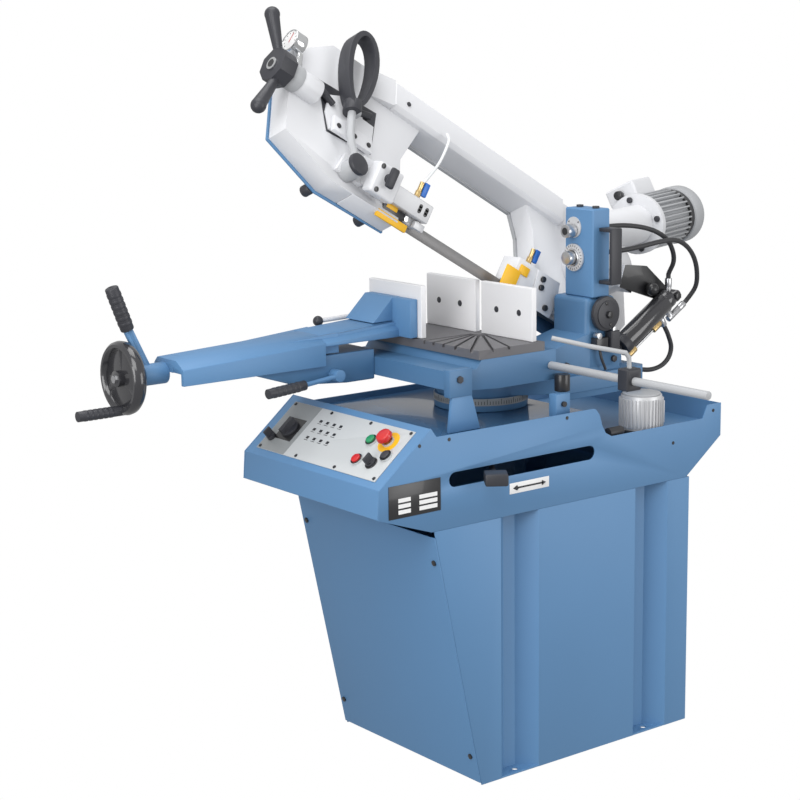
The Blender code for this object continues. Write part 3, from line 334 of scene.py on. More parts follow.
@dataclass(frozen=True)
class Bench:
    """Makes pieces in one frame, for one body.

    Every piece comes out at the origin, in world place, unrotated and unscaled. A piece that is made
    with no finish is raw: not painted and on no body yet.

    Args:
        body: CAD body that the pieces ride on.
        space: frame that their sizes are in.
    """

    body: str
    space: Matrix = field(default_factory=lambda: WORLD)

    def at(self, place: Point = (0.0, 0.0, 0.0), angle: float = 0.0, axis: str = "Z") -> "Bench":
        """Bench for the same body, in a frame moved and then turned within this one.

        Args:
            place: where its origin is.
            angle: turn in radians.
            axis: axis of the turn.

        Returns:
            The bench.
        """
        return Bench(self.body, self.space @ Matrix.Translation(place) @ Matrix.Rotation(angle, 4, axis))

    @staticmethod
    def clear() -> None:
        """Deselect everything."""
        bpy.ops.object.select_all(action="DESELECT")

    @staticmethod
    def soften(obj: Mesh, width: float, segments: int = 2) -> None:
        """Round an object's sharp edges and apply.

        Args:
            obj: mesh object.
            width: bevel width.
            segments: bevel segments.
        """
        mod = obj.modifiers.new("edge", "BEVEL")
        mod.width = width
        mod.segments = segments
        mod.limit_method = "ANGLE"
        mod.angle_limit = SHARP_ANGLE
        bpy.context.view_layer.objects.active = obj
        bpy.ops.object.modifier_apply(modifier=mod.name)

    def settle(self, name: str, local: Matrix) -> Mesh:
        """Move the object just added to its place and apply the transform.

        Args:
            name: its name.
            local: place in the frame.

        Returns:
            The object.
        """
        obj = bpy.context.object
        obj.name = name
        obj.data.transform(self.space @ local)
        obj.matrix_world = Matrix.Identity(4)
        return obj

    def hold(self, obj: Mesh, finish: Finish | None, bevel: float = 0.0) -> Mesh:
        """Soften a piece, paint it, shade it and hang it on the body.

        Args:
            obj: the piece.
            finish: its finish, or None to leave it raw.
            bevel: edge rounding.

        Returns:
            The piece.
        """
        if bevel:
            self.soften(obj, bevel)
        if finish is None:
            return obj
        obj.data.materials.clear()
        obj.data.materials.append(PAINT.get(finish))
        obj.data.shade_smooth()
        obj.data.set_sharp_from_angle(angle=SHARP_ANGLE)
        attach(obj, self.body)
        LOG.info("piece %s on %s", obj.name, self.body)
        return obj

    def rod(self, name: str, finish: Finish | None, start: Point, end: Point, radius: float,
            sides: int = 32, bevel: float = 0.0, tip: float | None = None) -> Mesh:
        """Cylinder or cone between two points.

        Args:
            name: object name.
            finish: its finish.
            start: centre of the first end.
            end: centre of the second end.
            radius: radius of the first end.
            sides: number of sides.
            bevel: edge rounding.
            tip: radius of the second end, where it differs.

        Returns:
            The piece.
        """
        self.clear()
        a, b = Vector(start), Vector(end)
        run = b - a
        bpy.ops.mesh.primitive_cone_add(vertices=sides, radius1=radius, depth=run.length,
                                        radius2=radius if tip is None else tip)
        obj = self.settle(name, Matrix.Translation((a + b) / 2) @ upright_to(run))
        return self.hold(obj, finish, bevel)

    def box(self, name: str, finish: Finish | None, lo: Point, hi: Point, bevel: float = 0.0) -> Mesh:
        """Box between two corners.

        Args:
            name: object name.
            finish: its finish.
            lo: low corner.
            hi: high corner.
            bevel: edge rounding.

        Returns:
            The piece.
        """
        self.clear()
        a, b = Vector(lo), Vector(hi)
        bpy.ops.mesh.primitive_cube_add(size=1.0)
        local = Matrix.Translation((a + b) / 2) @ Matrix.Diagonal((*(b - a), 1.0))
        return self.hold(self.settle(name, local), finish, bevel)

    def ball(self, name: str, finish: Finish | None, centre: Point, radius: float) -> Mesh:
        """Sphere.

        Args:
            name: object name.
            finish: its finish.
            centre: centre.
            radius: radius.

        Returns:
            The piece.
        """
        self.clear()
        bpy.ops.mesh.primitive_uv_sphere_add(segments=24, ring_count=12, radius=radius)
        return self.hold(self.settle(name, Matrix.Translation(centre)), finish)

    def ring(self, name: str, finish: Finish | None, centre: Point, axis: Point, major: float,
             minor: float) -> Mesh:
        """Torus.

        Args:
            name: object name.
            finish: its finish.
            centre: centre.
            axis: axis direction.
            major: ring radius.
            minor: wire radius.

        Returns:
            The piece.
        """
        self.clear()
        bpy.ops.mesh.primitive_torus_add(major_radius=major, minor_radius=minor, major_segments=48,
                                         minor_segments=10)
        obj = self.settle(name, Matrix.Translation(centre) @ upright_to(Vector(axis)))
        return self.hold(obj, finish)

    def pipe(self, name: str, points: tuple[Point, ...], radius: float, steps: int = 8,
             leads: bool = False) -> tuple[Mesh, list[Vector]]:
        """Raw round tube along a smooth line through points.

        Args:
            name: object name.
            points: points on the line.
            radius: tube radius.
            steps: samples between points.
            leads: keep the first and last spans straight.

        Returns:
            The tube and the sampled centreline in world space.
        """
        self.clear()
        line = [self.space @ p for p in smooth_line([Vector(p) for p in points], steps)]
        if leads:
            line = [line[0], *line[steps:-steps], line[-1]]
        curve = bpy.data.curves.new(name, "CURVE")
        curve.dimensions = "3D"
        curve.bevel_depth = radius
        curve.bevel_resolution = 3
        curve.use_fill_caps = True
        spline = curve.splines.new("POLY")
        spline.points.add(len(line) - 1)
        for knot, where in zip(spline.points, line):
            knot.co = (*where, 1.0)
        obj = bpy.data.objects.new(name, curve)
        bpy.context.scene.collection.objects.link(obj)
        bpy.context.view_layer.objects.active = obj
        obj.select_set(True)
        bpy.ops.object.convert(target="MESH")
        obj = bpy.context.object
        obj.name = name
        return obj, line

    def plate(self, name: str, finish: Finish | None, outline: tuple[Flat, ...], low: float, high: float,
              bevel: float = 0.0) -> Mesh:
        """Flat plate of any outline, drawn in XY and raised along Z.

        Args:
            name: object name.
            finish: its finish.
            outline: corners in order.
            low: height of its back.
            high: height of its front.
            bevel: edge rounding.

        Returns:
            The piece.
        """
        self.clear()
        bpy.ops.mesh.primitive_circle_add(vertices=len(outline), fill_type="NGON")
        obj = bpy.context.object
        for vert, (x, y) in zip(obj.data.vertices, outline):
            vert.co = (x, y, low)
        mod = obj.modifiers.new("raise", "SOLIDIFY")
        mod.thickness = high - low
        mod.offset = 1.0 if obj.data.polygons[0].normal.z > 0 else -1.0
        bpy.ops.object.modifier_apply(modifier=mod.name)
        lift = low - min(v.co.z for v in obj.data.vertices)
        self.settle(name, Matrix.Translation((0.0, 0.0, lift)))
        self.outward(obj)
        return self.hold(obj, finish, bevel)

    def outward(self, obj: Mesh) -> None:
        """Turn a closed mesh's faces outwards.

        Args:
            obj: mesh object.
        """
        self.clear()
        obj.select_set(True)
        bpy.context.view_layer.objects.active = obj
        bpy.ops.object.mode_set(mode="EDIT")
        bpy.ops.mesh.select_all(action="SELECT")
        bpy.ops.mesh.normals_make_consistent(inside=False)
        bpy.ops.object.mode_set(mode="OBJECT")

    def studs(self, name: str, finish: Finish, spots: list[Point], reach: Point, radius: float,
              sides: int = 6, bevel: float = 0.0006) -> Mesh:
        """Row of like bolts or pins as one piece.

        Args:
            name: object name.
            finish: their finish.
            spots: foot of each.
            reach: vector from foot to tip.
            radius: radius.
            sides: number of sides.
            bevel: edge rounding.

        Returns:
            The piece.
        """
        made = [self.rod("stud", None, spot, Vector(spot) + Vector(reach), radius, sides, bevel)
                for spot in spots]
        return self.join(name, finish, made)

    def fan(self, name: str, finish: Finish, count: int, step: float, lo: Point, hi: Point,
            axis: str = "X", first: float = 0.0, bevel: float = 0.0) -> Mesh:
        """Like boxes set round an axis of the frame, as one piece.

        Args:
            name: object name.
            finish: their finish.
            count: how many.
            step: angle between them in degrees.
            lo: low corner of the unturned box.
            hi: high corner.
            axis: which axis.
            first: angle of the first in degrees.
            bevel: edge rounding.

        Returns:
            The piece.
        """
        made = []
        for i in range(count):
            turned = self.at(angle=math.radians(first + i * step), axis=axis)
            made.append(turned.box("blade", None, lo, hi, bevel))
        return self.join(name, finish, made)

    def join(self, name: str, finish: Finish, pieces: list[Mesh]) -> Mesh:
        """Join raw pieces into one.

        Args:
            name: name of the result.
            finish: its finish.
            pieces: the raw pieces.

        Returns:
            The piece.
        """
        self.clear()
        for piece in pieces:
            piece.select_set(True)
        bpy.context.view_layer.objects.active = pieces[0]
        bpy.ops.object.join()
        obj = bpy.context.object
        obj.name = name
        return self.hold(obj, finish)


BASE, SWIVEL, VISE = Bench("base"), Bench("swivel"), Bench("vise")
PANEL = Bench("base", RIG.slope)
HEAD, BOW = Bench("head", RIG.head), Bench("head", RIG.bow)


@dataclass(frozen=True)
class Region:
    """Faces of a CAD node that have a finish of their own.

    Args:
        node: CAD node.
        finish: finish of those faces.
        space: frame of the box.
        lo: low corner of the box that holds the face centres.
        hi: high corner.
    """

    node: str
    finish: Finish
    space: Matrix
    lo: Point
    hi: Point

    def paint(self) -> None:
        """Give the faces their material."""
        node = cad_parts[self.node]
        node.data.materials.append(PAINT.get(self.finish))
        index = len(node.data.materials) - 1
        local = self.space.inverted() @ node.matrix_world
        for face in node.data.polygons:
            at = local @ face.center
            if all(a <= c <= b for a, c, b in zip(self.lo, at, self.hi)):
                face.material_index = index


@dataclass
class CadLook:
    """Finishes and edge rounding of the CAD nodes."""

    edge: float = 0.0016
    weld: float = 0.00002
    flat: float = math.radians(1.0)
    sharp: float = math.radians(32)
    wide_edge: dict[float, str] = field(default_factory=lambda: {
        0.006: "bow_frame terminal_box",
        0.005: "loop_handle tension_knob",
        0.004: "gearbox cross_beam vise_bed",
        0.0035: "swivel_arm",
        0.003: "vise_arm pivot_bracket",
        0.0025: "estop_button",
        0.002: "valve_post feed_button handwheel",
        0.0015: "jaw_block wheel_cover",
        0.0012: "front_panel",
        0.001: "start_button stop_button",
        0.0009: "coolant_tray cabinet",
        0.0006: "control_plate",
        0.0001: "saw_blade",
    })
    looks: dict[Finish, str] = field(default_factory=lambda: {
        Finish.BLUE: "cabinet front_panel floor_pan coolant_tray control_box support_post valve_post "
                     "wheel_cover vise_arm jaw_block",
        # The castings take the darker blue that is painted shade.
        Finish.CAST: "turntable_base cross_beam vise_bed swivel_arm pivot_bracket",
        Finish.WHITE: "bow_frame gearbox guide_clamp right_guide terminal_box",
        Finish.GREY: "stop_rod motor_body fan_cover handle_bracket",
        Finish.PLATE: "control_plate",
        Finish.DARK: "selector_knob main_switch speed_knob feed_button clamp_lever lock_lever "
                     "feed_knob speed_dial post_handle limit_switch loop_handle tension_knob "
                     "stop_clamp swivel_lock_lever pivot_shaft",
        Finish.GLOSS: "ram_barrel handwheel",
        Finish.RUBBER: "hose_upper hose_lower hose_drain",
        Finish.STEEL: "ram_rod",
        Finish.CHROME: "tension_gauge",
        Finish.BLADE: "saw_blade",
        Finish.JAW: "fixed_jaw_near fixed_jaw_far moving_jaw",
        Finish.TABLE: "saw_table",
        Finish.ALLOY: "guide_arm left_guide idler_wheel drive_wheel pump_motor",
        Finish.RED: "estop_button stop_button",
        Finish.GREEN: "start_button",
    })
    regions: tuple[Region, ...] = (
        Region("loop_handle", Finish.GREY, RIG.bow, (-1.0, -0.1, 0.0), (-0.5, 0.1495, 0.2)),
        Region("stop_clamp", Finish.GREY, WORLD, (-0.3, -0.6, 0.969), (0.1, -0.2, 1.2)),
        Region("gearbox", Finish.BLACK, RIG.head, (0.12, -0.08, 0.05), (0.3, -0.065, 0.2)),
        Region("ram_barrel", Finish.STEEL, RIG.ram, (0.0245, -0.05, -0.1), (0.09, 0.05, 0.3)),
        Region("ram_barrel", Finish.STEEL, WORLD, (0.4, -0.1, 1.0665), (0.47, -0.07, 1.12)),
        # Tray floor faces in the dark blue that is painted shade under the table.
        Region("coolant_tray", Finish.DECK, WORLD, (-0.455, -0.258, 0.8), (0.03, 0.258, 0.83)),
        Region("handwheel", Finish.DARK, WORLD, (-1.2, 0.0, 0.85), (-1.003, 0.4, 0.93)),
        Region("clamp_lever", Finish.BLUE, WORLD, (-0.97, 0.0, 0.9), (-0.8, 0.4, 1.072)),
        Region("lock_lever", Finish.BLUE, WORLD, (-0.573, 0.0, 0.9), (-0.4, 0.2, 1.0)),
    )

    def dress(self) -> None:
        """Give every CAD node its finish and softened edges."""
        widths = {name: width for width, names in self.wide_edge.items() for name in names.split()}
        for finish, names in self.looks.items():
            for name in names.split():
                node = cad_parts[name]
                node.data.materials.clear()
                node.data.materials.append(PAINT.get(finish))
                self.round_edges(node, widths.get(name, self.edge))
        for region in self.regions:
            region.paint()

    def round_edges(self, node: Mesh, width: float) -> None:
        """Weld, flatten and bevel a node without changing its mesh.

        Args:
            node: CAD node.
            width: bevel width.
        """
        weld = node.modifiers.new("weld", "WELD")
        weld.merge_threshold = self.weld
        flat = node.modifiers.new("flat", "DECIMATE")
        flat.decimate_type = "DISSOLVE"
        flat.angle_limit = self.flat
        flat.delimit = {"MATERIAL"}
        edge = node.modifiers.new("edge", "BEVEL")
        edge.width = width
        edge.segments = 2
        edge.limit_method = "ANGLE"
        edge.angle_limit = self.sharp
        edge.harden_normals = True
        node.data.shade_smooth()


@dataclass(frozen=True)
class Hose:
    """One free hose: its CAD node, its route in metres and the bodies at its ends."""

    node: str
    route: tuple[Point, ...]
    start: str
    end: str
    diameter: float = 0.012

    def build(self) -> None:
        bench = Bench(self.start)
        tube, line = bench.pipe(self.node + "_cover", self.route, self.diameter / 2, 6, True)
        tube.data.materials.append(PAINT.get(Finish.RUBBER))
        tube.data.shade_smooth()
        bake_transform(tube)
        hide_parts(self.node)


@dataclass
class Hydraulics:
    """Hoses, cylinder caps and fittings."""

    pipe_x: float = 0.036
    ferrule: Point = (0.012, 0.01, 0.0086)
    hoses: tuple[Hose, ...] = (
        Hose("hose_upper", (
            (0.1753, -0.112, 1.24), (0.1948, -0.112, 1.24), (0.25, -0.116, 1.239),
            (0.305, -0.123, 1.231), (0.352, -0.127, 1.216), (0.392, -0.124, 1.193),
            (0.42, -0.116, 1.162), (0.435, -0.104, 1.132), (0.43763, -0.085, 1.09992),
            (0.43763, -0.085, 1.08042)), "swivel", "head"),
        Hose("hose_lower", (
            (0.1753, -0.112, 1.178), (0.1948, -0.112, 1.178), (0.25, -0.121, 1.18),
            (0.3, -0.134, 1.187), (0.35, -0.143, 1.194), (0.398, -0.146, 1.194),
            (0.44, -0.143, 1.176), (0.475, -0.135, 1.145), (0.501, -0.122, 1.106),
            (0.515, -0.105, 1.064), (0.50177, -0.085, 1.02622), (0.48528, -0.085, 1.01581)),
             "swivel", "head"),
        Hose("hose_drain", (
            (0.41858, -0.085, 0.98042), (0.42899, -0.085, 0.96393), (0.44, -0.085, 0.945),
            (0.453, -0.083, 0.914), (0.447, -0.08, 0.886), (0.424, -0.076, 0.867),
            (0.388, -0.072, 0.861), (0.342, -0.07, 0.869), (0.3188, -0.07, 0.8785),
            (0.2993, -0.07, 0.8785)), "head", "swivel"),
    )

    def lay_hoses(self) -> None:
        """Make the free hoses."""
        for hose in self.hoses:
            hose.build()

    def build(self) -> None:
        """Make the caps and fittings."""
        ram, stem = Bench("ram_body", RIG.ram), Bench("ram_stem", RIG.ram)
        x, span = self.pipe_x, (Vector(RIG.ram_top) - Vector(RIG.ram_low)).length
        ram.rod("ram_sleeve", Finish.GLOSS, (0, 0, 0.03), (0, 0, span - 0.055), 0.0262, 48, 0.002)
        ram.rod("ram_head", Finish.GLOSS, (0, 0, 0.0085), (0, 0, 0.0305), 0.024, 40, 0.002)
        ram.rod("ram_gland", Finish.DARK, (0, 0, span - 0.06), (0, 0, span - 0.037), 0.0275, 40, 0.0015)
        stem.rod("ram_clevis", Finish.DARK, (0, 0, span - 0.034), (0, 0, span - 0.01), 0.013, 32, 0.002)
        ram.rod("ram_pipe", Finish.STEEL, (x, 0, 0.08), (x, 0, span - 0.06), 0.0036)
        ends = []
        for z in (0.084, span - 0.064):
            ends.append(ram.rod("end", None, (x, 0, z - 0.014), (x, 0, z + 0.014), 0.009, 6, 0.001))
            ends.append(ram.rod("leg", None, (x, 0, z), (0.022, 0, z), 0.007, 16))
        ram.join("ram_fittings", Finish.BRASS, ends)
        eye = Bench("ram_body").at(RIG.ram_top)
        eye.rod("ram_pin", Finish.BLACK, (0, -0.028, 0), (0, -0.0195, 0), 0.01, 6, 0.001)
        Bench("head").ball("stay_knob", Finish.BLACK, (0.39, -0.0765, 1.066), 0.0165)
        self.ferrules()

    def ferrules(self) -> None:
        """Ferrules at both ends of each hose; those at the cylinder ride on it, not on the head."""
        back, ahead, radius = self.ferrule
        for hose in self.hoses:
            for end, inner, body in ((0, 1, hose.start), (-1, -2, hose.end)):
                body = "ram_body" if body == "head" else body
                spot = Vector(hose.route[end])
                run = (Vector(hose.route[inner]) - spot).normalized()
                Bench(body).rod(f"ferrule_{hose.node}_{body}", Finish.STEEL, spot - run * back,
                                spot + run * ahead, radius, 24, 0.001)


@dataclass
class CabinetDetail:
    """Screws of the front panel, black discs in the tray wall's holes as painted shade, plate and label on
    the tray wall.
    """

    run: float = 0.129
    rise: float = 0.61
    half: float = 0.263
    foot: float = -0.337
    screw_y: float = 0.246
    screw_z: Flat = (0.07, 0.55)
    hole_spots: tuple[Flat, ...] = (
        (-0.422, 0.829), (-0.071, 0.829), (0.418, 0.781), (0.279, 0.719), (-0.505, 0.826))
    columns: tuple[Flat, ...] = ((-0.566, -0.532), (-0.508, -0.458))

    def build(self) -> None:
        """Make the pieces."""
        face = -self.half
        out = Vector((-self.rise, 0.0, -self.run)).normalized() * 0.0035
        spots = [(self.foot - self.run / self.rise * z, y, z)
                 for y in (-self.screw_y, self.screw_y) for z in self.screw_z]
        BASE.studs("panel_screws", Finish.BLACK, spots, out, 0.0065, 24)
        # Black discs in the tray wall's holes: painted shade inside the holes.
        spots = [(x, face + 0.0002, z) for x, z in self.hole_spots]
        BASE.studs("tray_holes_painted_shade", Finish.BLACK, spots, (0, -0.0008, 0), 0.0042, 20, 0.0)
        BASE.box("type_plate", Finish.BLACK, (-0.592, face - 0.0014, 0.674),
                 (-0.448, face - 0.0002, 0.748), 0.0004)
        fields = []
        for row in range(3):
            z = 0.683 + row * 0.013
            for lo, hi in self.columns:
                corners = (lo, face - 0.0018, z), (hi, face - 0.0012, z + 0.009)
                fields.append(BASE.box("field", None, *corners))
        BASE.join("type_plate_fields", Finish.LABEL, fields)
        BASE.box("lock_label", Finish.LABEL, (-0.247, face - 0.001, 0.676),
                 (-0.127, face - 0.0002, 0.701), 0.0003)
        tips = [BASE.box("bar", None, (-0.232, face - 0.0014, 0.6865), (-0.142, face - 0.0008, 0.6905))]
        y, z = face - 0.0012, 0.6885
        for x, step in ((-0.237, 0.012), (-0.137, -0.012)):
            tips.append(BASE.rod("tip", None, (x, y, z), (x + step, y, z), 0.0003, 4, tip=0.0065))
        BASE.join("lock_arrow", Finish.BLACK, tips)


@dataclass
class ControlPanel:
    """Pieces on the sloped control plate, in the slope frame."""

    top: float = 0.002
    screw_x: Flat = (0.025, 0.159)
    screw_y: tuple[float, ...] = (-0.221, -0.075, 0.075, 0.221)
    estop: Flat = (0.123, -0.176)
    switch: Flat = (0.089, 0.168)
    switch_half: float = 0.033
    ringed: tuple[Flat, ...] = ((0.115, -0.123), (0.058, -0.127), (0.086, -0.205))
    selector: Flat = (0.06, -0.176)

    def build(self) -> None:
        """Make the pieces."""
        z = self.top
        spots = [(x, y, z) for x in self.screw_x for y in self.screw_y]
        PANEL.studs("plate_screws", Finish.BLACK, spots, (0, 0, 0.0022), 0.0042, 20)
        x, y = self.estop
        PANEL.rod("estop_ring", Finish.YELLOW, (x, y, z), (x, y, z + 0.0008), 0.0285, 48)
        (x, y), half = self.switch, self.switch_half
        PANEL.box("switch_base", Finish.BLACK, (x - half, y - half, z), (x + half, y + half, z + 0.0002))
        self.marks()
        rings = [PANEL.ring("bezel", None, (x, y, 0.0075), ALONG_Z, 0.0132, 0.0015) for x, y in self.ringed]
        PANEL.join("bezels", Finish.BLACK, rings)
        x, y = self.selector
        PANEL.ring("selector_bezel", Finish.BLACK, (x, y, z + 0.001), ALONG_Z, 0.014, 0.0018)
        PANEL.box("switch_field", Finish.FIELD, (0.0185, 0.12, z - 0.0001), (0.1655, 0.2295, z + 0.00012))

    def marks(self) -> None:
        """Plain marks in rows, in place of the pictograms."""
        z, marks = self.top, []
        for row in range(3):
            for col in range(4):
                x, y = 0.13 - 0.025 * row, 0.088 - 0.026 * col
                marks.append(PANEL.box("mark", None, (x - 0.0035, y - 0.0045, z),
                                       (x + 0.0035, y + 0.0045, z + 0.0008)))
                marks.append(PANEL.box("tick", None, (x - 0.008, y - 0.007, z),
                                       (x - 0.0068, y + 0.007, z + 0.0004)))
        PANEL.join("panel_marks", Finish.BLACK, marks)


@dataclass
class TableDetail:
    """Grooved table top, jaw bolts, scale band and small fittings of the base."""

    axis: Flat = (-0.094, 0.017)
    top: float = 0.998
    groove: float = 0.0075
    groove_mid: float = 0.214
    groove_half: float = 0.186
    depth: float = 0.008
    turns: tuple[float, ...] = (181.0, 192.0, 203.0, 214.0, 225.0, 236.0, 247.0)
    lever_end: Point = (-0.32, -0.3, 0.736)
    pump: Point = (0.237, -0.195, 0.76)
    pump_top: float = 0.828
    knob: Flat = (-0.034, -0.206)
    rail_lo: Point = (-0.3735, -0.207, 0.905)
    rail_hi: Point = (-0.3075, -0.1855, 0.968)
    rail_bolt: Flat = (-0.345, 0.945)
    stay_y: float = -0.196
    stay: tuple[Flat, ...] = (
        (-0.375, 0.8256), (-0.283, 0.8256), (-0.31, 0.9145), (-0.364, 0.9145))

    def build(self) -> None:
        """Make the pieces."""
        self.grooved_table()
        self.jaws()
        self.rail()
        self.scale()
        self.stops()
        self.coolant()
        self.paddle()

    def grooved_table(self) -> None:
        """Stand a grooved copy of the table in for the plain CAD block."""
        lo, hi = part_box("saw_table")
        table = BASE.box("table_top", None, lo, hi)
        half = Vector((self.groove_half, self.groove / 2, self.depth))
        for turn in self.turns:
            dx, dy = polar(self.groove_mid, turn)
            mid = Vector((self.axis[0] + dx, self.axis[1] + dy, self.top))
            cutter = BASE.at(mid, math.radians(turn)).box("slot", None, -half, half)
            mod = table.modifiers.new("slot", "BOOLEAN")
            mod.object = cutter
            mod.operation = "DIFFERENCE"
            mod.solver = "EXACT"
            bpy.context.view_layer.objects.active = table
            bpy.ops.object.modifier_apply(modifier=mod.name)
            bpy.data.objects.remove(cutter, do_unlink=True)
        BASE.soften(table, 0.0006, 1)
        BASE.hold(table, Finish.TABLE)
        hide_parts("saw_table")

    def paddle(self) -> None:
        """Flat grip on the swivel lock lever."""
        reach = Vector(self.lever_end)
        turn = math.atan2(reach.y - self.axis[1], reach.x - self.axis[0])
        lever = Bench("swivel_lock").at(reach, turn)
        lever.box("lever_paddle", Finish.DARK, (-0.012, -0.026, -0.015), (0.036, 0.026, 0.013), 0.004)

    def jaws(self) -> None:
        """Sunk bolts of the fixed jaws."""
        face = self.axis[0] - 0.0075
        spots = [(face + 0.001, y, 1.062) for y in (-0.13, -0.05, 0.085, 0.165)]
        BASE.studs("jaw_bolts", Finish.DARK, spots, (-0.0018, 0, 0), 0.0075, 28)

    def rail(self) -> None:
        """Squared rail end with its bolt, and the flat stay below it."""
        # Rail end in the darker blue that is painted shade.
        BASE.box("rail_end", Finish.CAST, self.rail_lo, self.rail_hi, 0.002)
        (x, z), y = self.rail_bolt, self.rail_lo[1]
        BASE.rod("post_bolt", Finish.DARK, (x, y - 0.005, z), (x, y + 0.004, z), 0.0085, 6)
        lay = BASE.at((0.0, self.stay_y, 0.0), QUARTER, "X")
        stay = lay.plate("flat_stay", Finish.BLUE, self.stay, 0.0, 0.009, 0.0015)
        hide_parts("support_post")

    def scale(self) -> None:
        """Degree band round the turntable."""
        x, y = self.axis
        BASE.rod("scale_band", Finish.FIELD, (x, y, 0.84), (x, y, 0.857), 0.1137, 96)
        ticks = []
        for i in range(48):
            high = 0.856 if i % 5 == 0 else 0.851
            place = BASE.at((x, y, 0.0), math.radians(150 + i * 3.5))
            ticks.append(place.box("tick", None, (0.1134, -0.0006, 0.843), (0.114, 0.0006, high)))
        BASE.join("scale_ticks", Finish.BLACK, ticks)

    def stops(self) -> None:
        """Angle stop on the deck."""
        x, y = self.knob
        BASE.rod("knob_post", Finish.BLACK, (x, y, 0.826), (x, y, 0.884), 0.01)
        BASE.rod("knurled_knob", Finish.BLACK, (x, y, 0.88), (x, y, 0.92), 0.0185, 20, 0.002)
        BASE.box("stop_foot", Finish.BLUE, (-0.08, -0.236, 0.8255), (-0.036, -0.21, 0.88), 0.002)
        BASE.rod("stop_foot_bolt", Finish.BLACK, (-0.058, -0.242, 0.856), (-0.058, -0.222, 0.856), 0.0065)

    def coolant(self) -> None:
        """Ribs, cap, flange and pipe of the coolant pump, and the sheet that lines the tray."""
        at = Vector(self.pump)
        BASE.at(at).fan("pump_ribs", Finish.ALLOY, 36, 10, (0.046, -0.0012, 0.0),
                        (0.0545, 0.0012, self.pump_top - at.z), "Z")
        BASE.rod("pump_cap", Finish.GREY, (at.x, at.y, 0.8362), (at.x, at.y, 0.841), 0.047, bevel=0.002)
        BASE.rod("pump_flange", Finish.BLACK, (at.x, at.y, 0.7455), (at.x, at.y, 0.753), 0.058,
                 bevel=0.001)
        BASE.rod("pump_pipe", Finish.RUBBER, (0.085, -0.236, 0.766), (0.13, -0.236, 0.766), 0.013,
                 bevel=0.002)
        BASE.box("tray_lining", Finish.BLUE, (0.326, -0.25, 0.629), (0.33, 0.25, 0.737))


